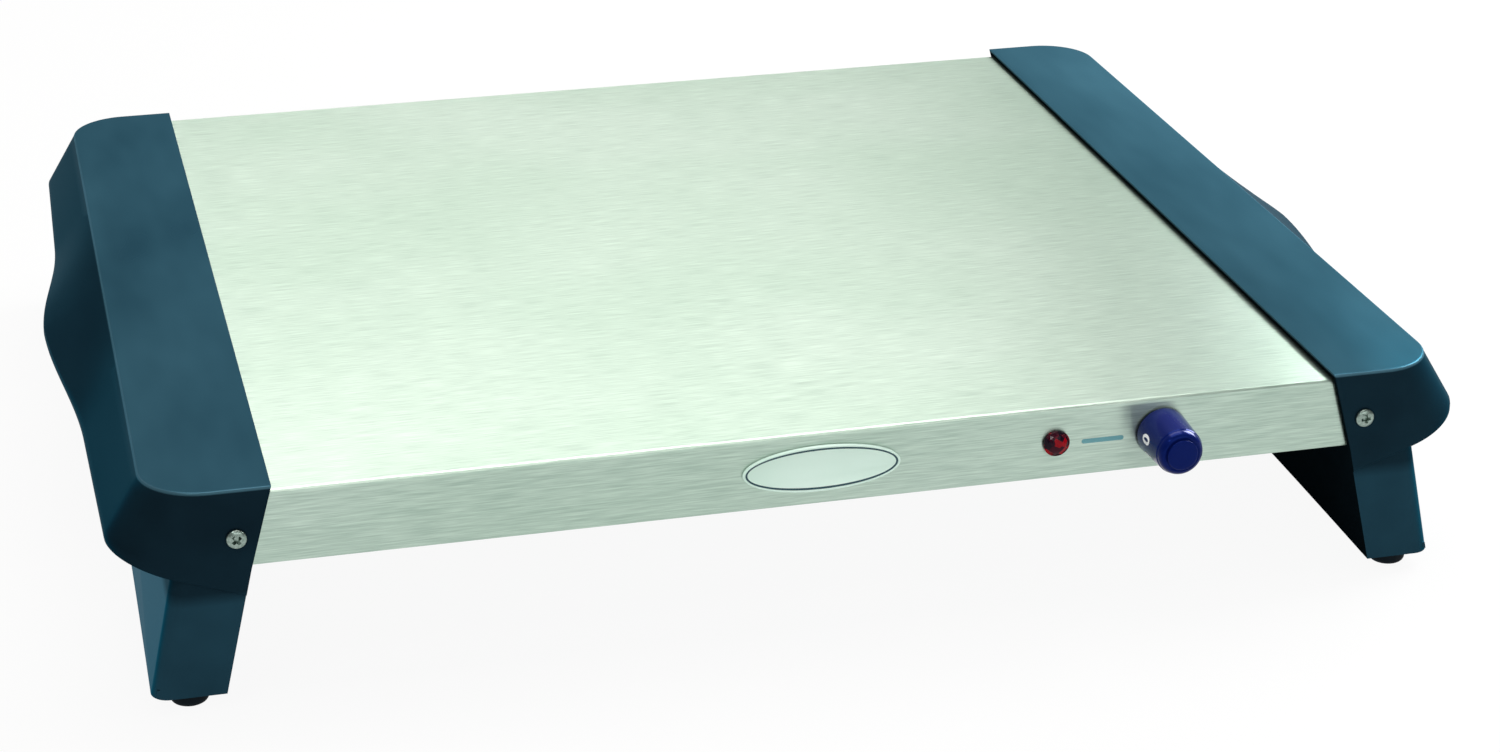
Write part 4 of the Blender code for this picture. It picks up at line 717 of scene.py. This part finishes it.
def make_screws(steel):
    for place in ("front_left", "front_right", "rear_left", "rear_right"):
        name = f"cap_screw_{place}"
        low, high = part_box(name)
        front = "front" in name
        mesh = pan_head_screw(*CAP_SCREW)
        seat = low[1] + CAP_SCREW[3] if front else high[1] - CAP_SCREW[3]
        turn = (FORWARD if front else BACKWARD) @ Matrix.Rotation(0.35 if "left" in name else -0.2, 4, "Z")
        moved(mesh, ((low[0] + high[0]) / 2, seat, (low[2] + high[2]) / 2), turn)
        add_piece(f"{name}_pan_head", mesh, steel, "tray", "plated_steel", name)
    for number in range(1, 7):
        name = f"cover_screw_{number}"
        low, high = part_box(name)
        seat = low[2] + COVER_SCREW_SEAT
        mesh = pan_head_screw(*COVER_SCREW)
        moved(mesh, ((low[0] + high[0]) / 2, (low[1] + high[1]) / 2, seat), DOWNWARD)
        add_piece(f"{name}_pan_head", mesh, steel, "tray", "plated_steel", name)


# Knob


def knob_radius(along):
    return KNOB_REAR_RADIUS + (KNOB_FRONT_RADIUS - KNOB_REAR_RADIUS) * along / (KNOB_LENGTH - KNOB_SHOULDER)


def knob_mesh():
    """The tapered knob with a broad rounded shoulder, a groove, a raised face, and a hub inside."""
    front = KNOB_LENGTH - KNOB_SHOULDER
    roof = KNOB_LENGTH - 0.002
    profile = [(0.0037, 0.0045), (0.0055, 0.0045), (0.0055, roof), (0.0072, roof), (0.0088, front - 0.001)]
    profile += [(0.0099, 0.0), (0.0117, 0.0), (KNOB_REAR_RADIUS, 0.0003), (knob_radius(0.010), 0.010)]
    profile += [(knob_radius(0.018), 0.018), (KNOB_FRONT_RADIUS, front - 0.0003)]
    for i in range(10):
        turn = math.radians(82 * i / 9)
        radius = KNOB_BAND_RADIUS + (KNOB_FRONT_RADIUS - 0.0004 - KNOB_BAND_RADIUS) * math.cos(turn)
        profile.append((radius, front + 0.0004 + (KNOB_SHOULDER - 0.0006) * math.sin(turn)))
    profile += [(KNOB_BAND_RADIUS - 0.0003, KNOB_LENGTH - 0.0005), (KNOB_FACE_RADIUS, KNOB_LENGTH - 0.0005)]
    profile += arc((KNOB_FACE_RADIUS - 0.0004, KNOB_LENGTH + 0.0002), 0.0004, 0, math.pi / 2, 5)
    profile += [(0.004, KNOB_LENGTH + 0.0006), (0, KNOB_LENGTH + 0.0006), (0, 0.0158), (0.0037, 0.0158)]
    return turned(profile, 96)


def glyph_mesh(text, height):
    """A number as flat faces about its own middle, with enough points to bend."""
    curve = bpy.data.curves.new("glyph", "FONT")
    curve.body = text
    curve.size = height / 0.76
    curve.offset = height * 0.042
    thing = bpy.data.objects.new("glyph", curve)
    bpy.context.scene.collection.objects.link(thing)
    state = bpy.context.evaluated_depsgraph_get()
    mesh = bpy.data.meshes.new_from_object(thing.evaluated_get(state))
    bpy.data.objects.remove(thing, do_unlink=True)
    shape = bmesh.new()
    shape.from_mesh(mesh)
    corners = [[pick(v.co[axis] for v in shape.verts) for axis in (0, 1)] for pick in (min, max)]
    middle = [(corners[0][axis] + corners[1][axis]) / 2 for axis in (0, 1)]
    bmesh.ops.translate(shape, vec=(-middle[0], -middle[1], 0), verts=shape.verts)
    for axis in (Vector((1, 0, 0)), Vector((0, 1, 0))):
        for i in range(-6, 7):
            geom = shape.verts[:] + shape.edges[:] + shape.faces[:]
            bmesh.ops.bisect_plane(shape, geom=geom, plane_co=axis * height * i / 10, plane_no=axis)
    return mesh_of(shape)


def knob_number(text, angle):
    """A printed number round the knob's side, its top towards the panel."""
    shape = bmesh.new()
    shape.from_mesh(glyph_mesh(text, NUMBER_HEIGHT))
    for vert in shape.verts:
        along = NUMBER_ALONG - vert.co.y
        radius = knob_radius(along) + NUMBER_PROUD
        turn = angle - vert.co.x / radius
        vert.co = (KNOB_X + radius * math.cos(turn), KNOB_REAR - along, CONTROL_Z + radius * math.sin(turn))
    for face in shape.faces:
        face.normal_update()
        middle = face.calc_center_median()
        if face.normal.dot(middle - Vector((KNOB_X, middle.y, CONTROL_Z))) < 0:
            face.normal_flip()
    mesh = bpy.data.meshes.new("number")
    shape.to_mesh(mesh)
    return mesh


def make_knob(plastic, white):
    mesh = moved(knob_mesh(), (KNOB_X, KNOB_REAR, CONTROL_Z), FORWARD)
    add_piece("knob_body", mesh, plastic, "knob", "knob_plastic", "knob", angle=25)
    for number in range(NUMBER_COUNT):
        mesh = knob_number(str(number), math.radians(NUMBER_START + NUMBER_STEP * number))
        add_piece(f"knob_number_{number}", mesh, white, "knob", "knob_plastic")


# Pilot lamp, index line and oval plate


def make_lens(red):
    """A jewel lens: a round rim and a low faceted dome."""
    profile = [(0.0031, -0.0063), (0.0040, -0.0063), (0.0040, 0), (0.0058, 0), (0.0061, 0.0003)]
    profile += [(0.0061, 0.0012), (0.0059, 0.0015), (0.0054, 0.0015), (0.0052, 0.0017)]
    rim = turned(profile + [(0.0040, 0.0012), (0.0031, 0.0005)], 64)
    shape = bmesh.new()
    rows = []
    tiers = ((0.0054, 0.0015, 0), (0.0045, 0.0026, 0.5), (0.0030, 0.0034, 0), (0.0014, 0.0037, 0.5))
    for radius, height, shift in tiers:
        angles = [2 * math.pi * (i + shift) / LENS_FACETS for i in range(LENS_FACETS)]
        rows.append([shape.verts.new((radius * math.cos(a), radius * math.sin(a), height)) for a in angles])
    for number, (one, other) in enumerate(zip(rows, rows[1:])):
        for i in range(LENS_FACETS):
            j = (i + 1) % LENS_FACETS
            if number % 2 == 0:
                shape.faces.new((one[i], one[j], other[i]))
                shape.faces.new((one[j], other[j], other[i]))
            else:
                shape.faces.new((one[i], one[j], other[j]))
                shape.faces.new((one[i], other[j], other[i]))
    shape.faces.new(rows[-1])
    shape.faces.new(list(reversed(rows[0])))
    lens = together(rim, mesh_of(shape))
    moved(lens, (LAMP_X, PANEL_Y - FIT, CONTROL_Z), FORWARD)
    add_piece("pilot_lamp_jewel", lens, red, "tray", "lamp_red", "pilot_lamp_lens", angle=12)


def make_index_line(ink):
    """The printed line that the knob's numbers are set against."""
    half = INDEX_HALF_WIDTH
    z = CONTROL_Z - INDEX_DROP
    right = arc((INDEX_END - half, z), half, -math.pi / 2, math.pi / 2, 6)
    left = arc((INDEX_START + half, z), half, math.pi / 2, 1.5 * math.pi, 6)
    mesh = prism_along_y(right + left, PANEL_Y - INK_PROUD, PANEL_Y + INK_SUNK)
    add_piece("index_line", mesh, ink, "tray", "plate_enamel")


def oval(inset, height, steps=96):
    wide = (PLATE_HIGH[0] - PLATE_LOW[0]) / 2 - inset
    tall = (PLATE_HIGH[2] - PLATE_LOW[2]) / 2 - inset
    angles = [2 * math.pi * i / steps for i in range(steps)]
    return [(wide * math.cos(a), tall * math.sin(a), height) for a in angles]


def make_plate(enamel, ring_ink):
    """The bare oval plate: a domed rim, a printed ring and a flat field."""
    rings = [oval(0, 0), oval(0, 0.0007), oval(0.0001, 0.0010), oval(0.0003, 0.00125), oval(0.0006, 0.0013)]
    rings += [oval(0.0009, 0.00125), oval(0.0012, 0.0011), oval(0.0014, 0.0009)]
    studs = [moved(rod(0.0014, -0.0048, 0.0006), (x, 0, 0)) for x in (-PLATE_STUD_X, PLATE_STUD_X)]
    at = ((PLATE_LOW[0] + PLATE_HIGH[0]) / 2, PANEL_Y - FIT, (PLATE_LOW[2] + PLATE_HIGH[2]) / 2)
    plate = moved(together(loft(rings), *studs), at, FORWARD)
    add_piece("oval_plate_bare", plate, enamel, "tray", "plate_enamel", "oval_plate", angle=50)
    shape = bmesh.new()
    rows = [[shape.verts.new(p) for p in oval(inset, height)]
            for inset, height in ((0.0012, 0.00100), (0.0013, 0.00118), (0.0021, 0.00098), (0.0022, 0.00088))]
    for one, other in zip(rows, rows[1:] + rows[:1]):
        for i in range(len(one)):
            j = (i + 1) % len(one)
            shape.faces.new((one[i], one[j], other[j], other[i]))
    add_piece("oval_plate_ring", moved(mesh_of(shape), at, FORWARD), ring_ink, "tray", "plate_enamel")


# Rear gland


def make_gland(nylon):
    """The cord entry: a flange with a rounded edge, a threaded body and an open bore."""
    body, out = GLAND_BODY_RADIUS, GLAND_FLANGE
    profile = [(0.0042, -0.0110), (body - 0.0004, -0.0110)]
    for i in range(9):
        z = -0.0106 + i * GLAND_THREAD_PITCH
        profile += [(body, z), (body - 0.0004, z + GLAND_THREAD_PITCH / 2)]
    profile += [(body, 0), (0.0098, 0), (0.0100, 0.0003), (0.0100, out - 0.0012)]
    profile += arc((0.0088, out - 0.0012), 0.0012, 0, math.pi / 2, 6)
    profile += [(0.0060, out), (0.0055, out - 0.0006), (0.0046, out - 0.0006), (0.0042, out - 0.0012)]
    mesh = turned(profile, 64)
    seat = GLAND_HIGH[1] - out
    middle = ((GLAND_LOW[0] + GLAND_HIGH[0]) / 2, seat, (GLAND_LOW[2] + GLAND_HIGH[2]) / 2)
    moved(mesh, middle, BACKWARD)
    add_piece("cord_gland_bushing", mesh, nylon, "tray", "black_nylon", "cord_gland")


# Studio


def make_camera():
    data = bpy.data.cameras.new("photo_view")
    data.lens = VIEW_LENS
    data.sensor_width = VIEW_SENSOR
    camera = bpy.data.objects.new("photo_view", data)
    bpy.context.scene.collection.objects.link(camera)
    flat = math.cos(VIEW_ELEVATION)
    away = Vector((math.sin(VIEW_AZIMUTH) * flat, -math.cos(VIEW_AZIMUTH) * flat, math.sin(VIEW_ELEVATION)))
    turn = away.to_track_quat("Z", "Y").to_matrix().to_4x4() @ Matrix.Rotation(VIEW_ROLL, 4, "Z")
    camera.matrix_world = Matrix.Translation(VIEW_TARGET + away * VIEW_DISTANCE) @ turn
    bpy.context.scene.camera = camera


def make_floor():
    """A plain floor that keeps the tray's shadow; to the camera and in reflections it is near white."""
    made, tree = blank_material("studio_floor")
    path = add_node(tree, "ShaderNodeLightPath").outputs
    paper = add_node(tree, "ShaderNodeBsdfDiffuse", {"Color": linear("#b8bab9")})
    glow = add_node(tree, "ShaderNodeEmission", {"Color": (1, 1, 1, 1), "Strength": 1.0})
    seen = add_node(tree, "ShaderNodeMath", {}, {0: path["Is Camera Ray"], 1: path["Is Glossy Ray"]})
    seen = add_node(tree, "ShaderNodeMath", {}, {0: seen.outputs[0], 1: path["Is Transmission Ray"]})
    seen = add_node(tree, "ShaderNodeMath", {"operation": "MULTIPLY", 1: FLOOR_GLOW}, {0: seen.outputs[0]})
    links = {"Fac": seen.outputs[0], 1: paper.outputs[0], 2: glow.outputs[0]}
    finish(tree, add_node(tree, "ShaderNodeMixShader", {}, links))
    bpy.ops.mesh.primitive_plane_add(size=12)
    floor = bpy.context.object
    floor.name = "studio_floor"
    floor.data.materials.append(made)


def make_world():
    world = bpy.data.worlds.new("studio")
    world.use_nodes = True
    tree = world.node_tree
    tree.nodes.clear()
    back = add_node(tree, "ShaderNodeBackground", {"Color": (1, 1, 1, 1), "Strength": WORLD_STRENGTH})
    add_node(tree, "ShaderNodeOutputWorld", {}, {"Surface": back.outputs[0]})
    bpy.context.scene.world = world


def soft_lamp(name, place, target, size, power, colour=(1, 1, 1)):
    data = bpy.data.lights.new(name, "AREA")
    data.shape = "RECTANGLE"
    data.size, data.size_y = size
    data.energy = power
    data.color = colour
    lamp = bpy.data.objects.new(name, data)
    bpy.context.scene.collection.objects.link(lamp)
    turn = (Vector(place) - Vector(target)).to_track_quat("Z", "Y").to_matrix().to_4x4()
    lamp.matrix_world = Matrix.Translation(place) @ turn


def make_lights():
    soft_lamp("overhead_softbox", (0.03, 0.45, 2.0), (0, 0.1, 0.1), (1.62, 2.2), 52, (1.0, 0.93, 0.91))
    soft_lamp("right_softbox", (1.1, 0.35, 0.8), (0.1, 0, 0.1), (0.9, 0.7), 38)
    soft_lamp("front_softbox", (0.3, -2.4, 1.0), (0, 0, 0.1), (2.4, 1.0), 12)
    soft_lamp("front_strip", (-0.85, -1.0, 1.3), (0.1, -0.2, 0.08), (0.5, 0.12), 4)


def dress_nodes(finish_of_slot):
    """Each CAD node takes the finish of its material slot."""
    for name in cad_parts:
        for slot in bpy.data.objects[name].material_slots:
            slot.material = finish_of_slot[slot.material.name.split(".")[0]]


def main():
    make_camera()
    steel = brushed_stainless()
    cap_plastic = cap_polypropylene()
    navy = moulded_plastic("knob_navy_abs", "#06114a", "#0a1a58", 0.30, 0.14, 0.20, gloss=0.40, lustre=0.06,
                           edge="#4468dc")
    nylon = moulded_plastic("gland_nylon_66", "#101112", "#1c1e20", 0.40, 0.40, 0.55)
    rubber = moulded_plastic("foot_black_rubber", "#0b1318", "#142027", 0.50, 0.60, 0.80, gloss=0.1)
    ceramic = moulded_plastic("glazed_steatite", "#d8d3c6", "#ebe8de", 0.60, 0.25, 0.45)
    silicone = moulded_plastic("silicone_insulation", "#a8a294", "#c9c4b6", 0.80, 0.45, 0.65)
    enamel = moulded_plastic("plate_mint_enamel", "#d9f8e8", "#e6fef3", 1.2, 0.18, 0.30)
    plated = plated_metal("zinc_plated_steel", "#75887f", "#a3b3ab", 0.9, 0.22, 0.38)
    aluminium = plated_metal("mill_aluminium", "#b9bcbf", "#d3d6d8", 2.5, 0.30, 0.45)
    sheath = plated_metal("oxidised_sheath", "#3d352f", "#6b6058", 1.8, 0.40, 0.65)
    red = red_acrylic()
    dress_nodes({
        "stainless": steel, "plated_steel": plated, "galvanised_steel": galvanised(),
        "spreader_aluminium": aluminium, "heater_sheath": sheath, "mineral_wool": mineral_wool(),
        "cap_plastic": cap_plastic, "knob_plastic": navy, "black_nylon": nylon, "foot_rubber": rubber,
        "lamp_red": red, "ceramic": ceramic, "wire_silicone": silicone, "plate_enamel": enamel})
    make_caps(cap_plastic)
    make_feet(rubber)
    make_screws(plated)
    make_knob(navy, printed_ink("white_pad_print", "#e4e8ec", "#fbfcfd"))
    make_lens(red)
    make_index_line(printed_ink("teal_pad_print", "#5a98a1", "#6ca8af"))
    make_plate(enamel, printed_ink("ring_teal_print", "#123a44", "#1d4e58"))
    make_gland(nylon)
    make_floor()
    make_world()
    make_lights()
    bpy.context.scene.view_settings.view_transform = "Standard"


main()
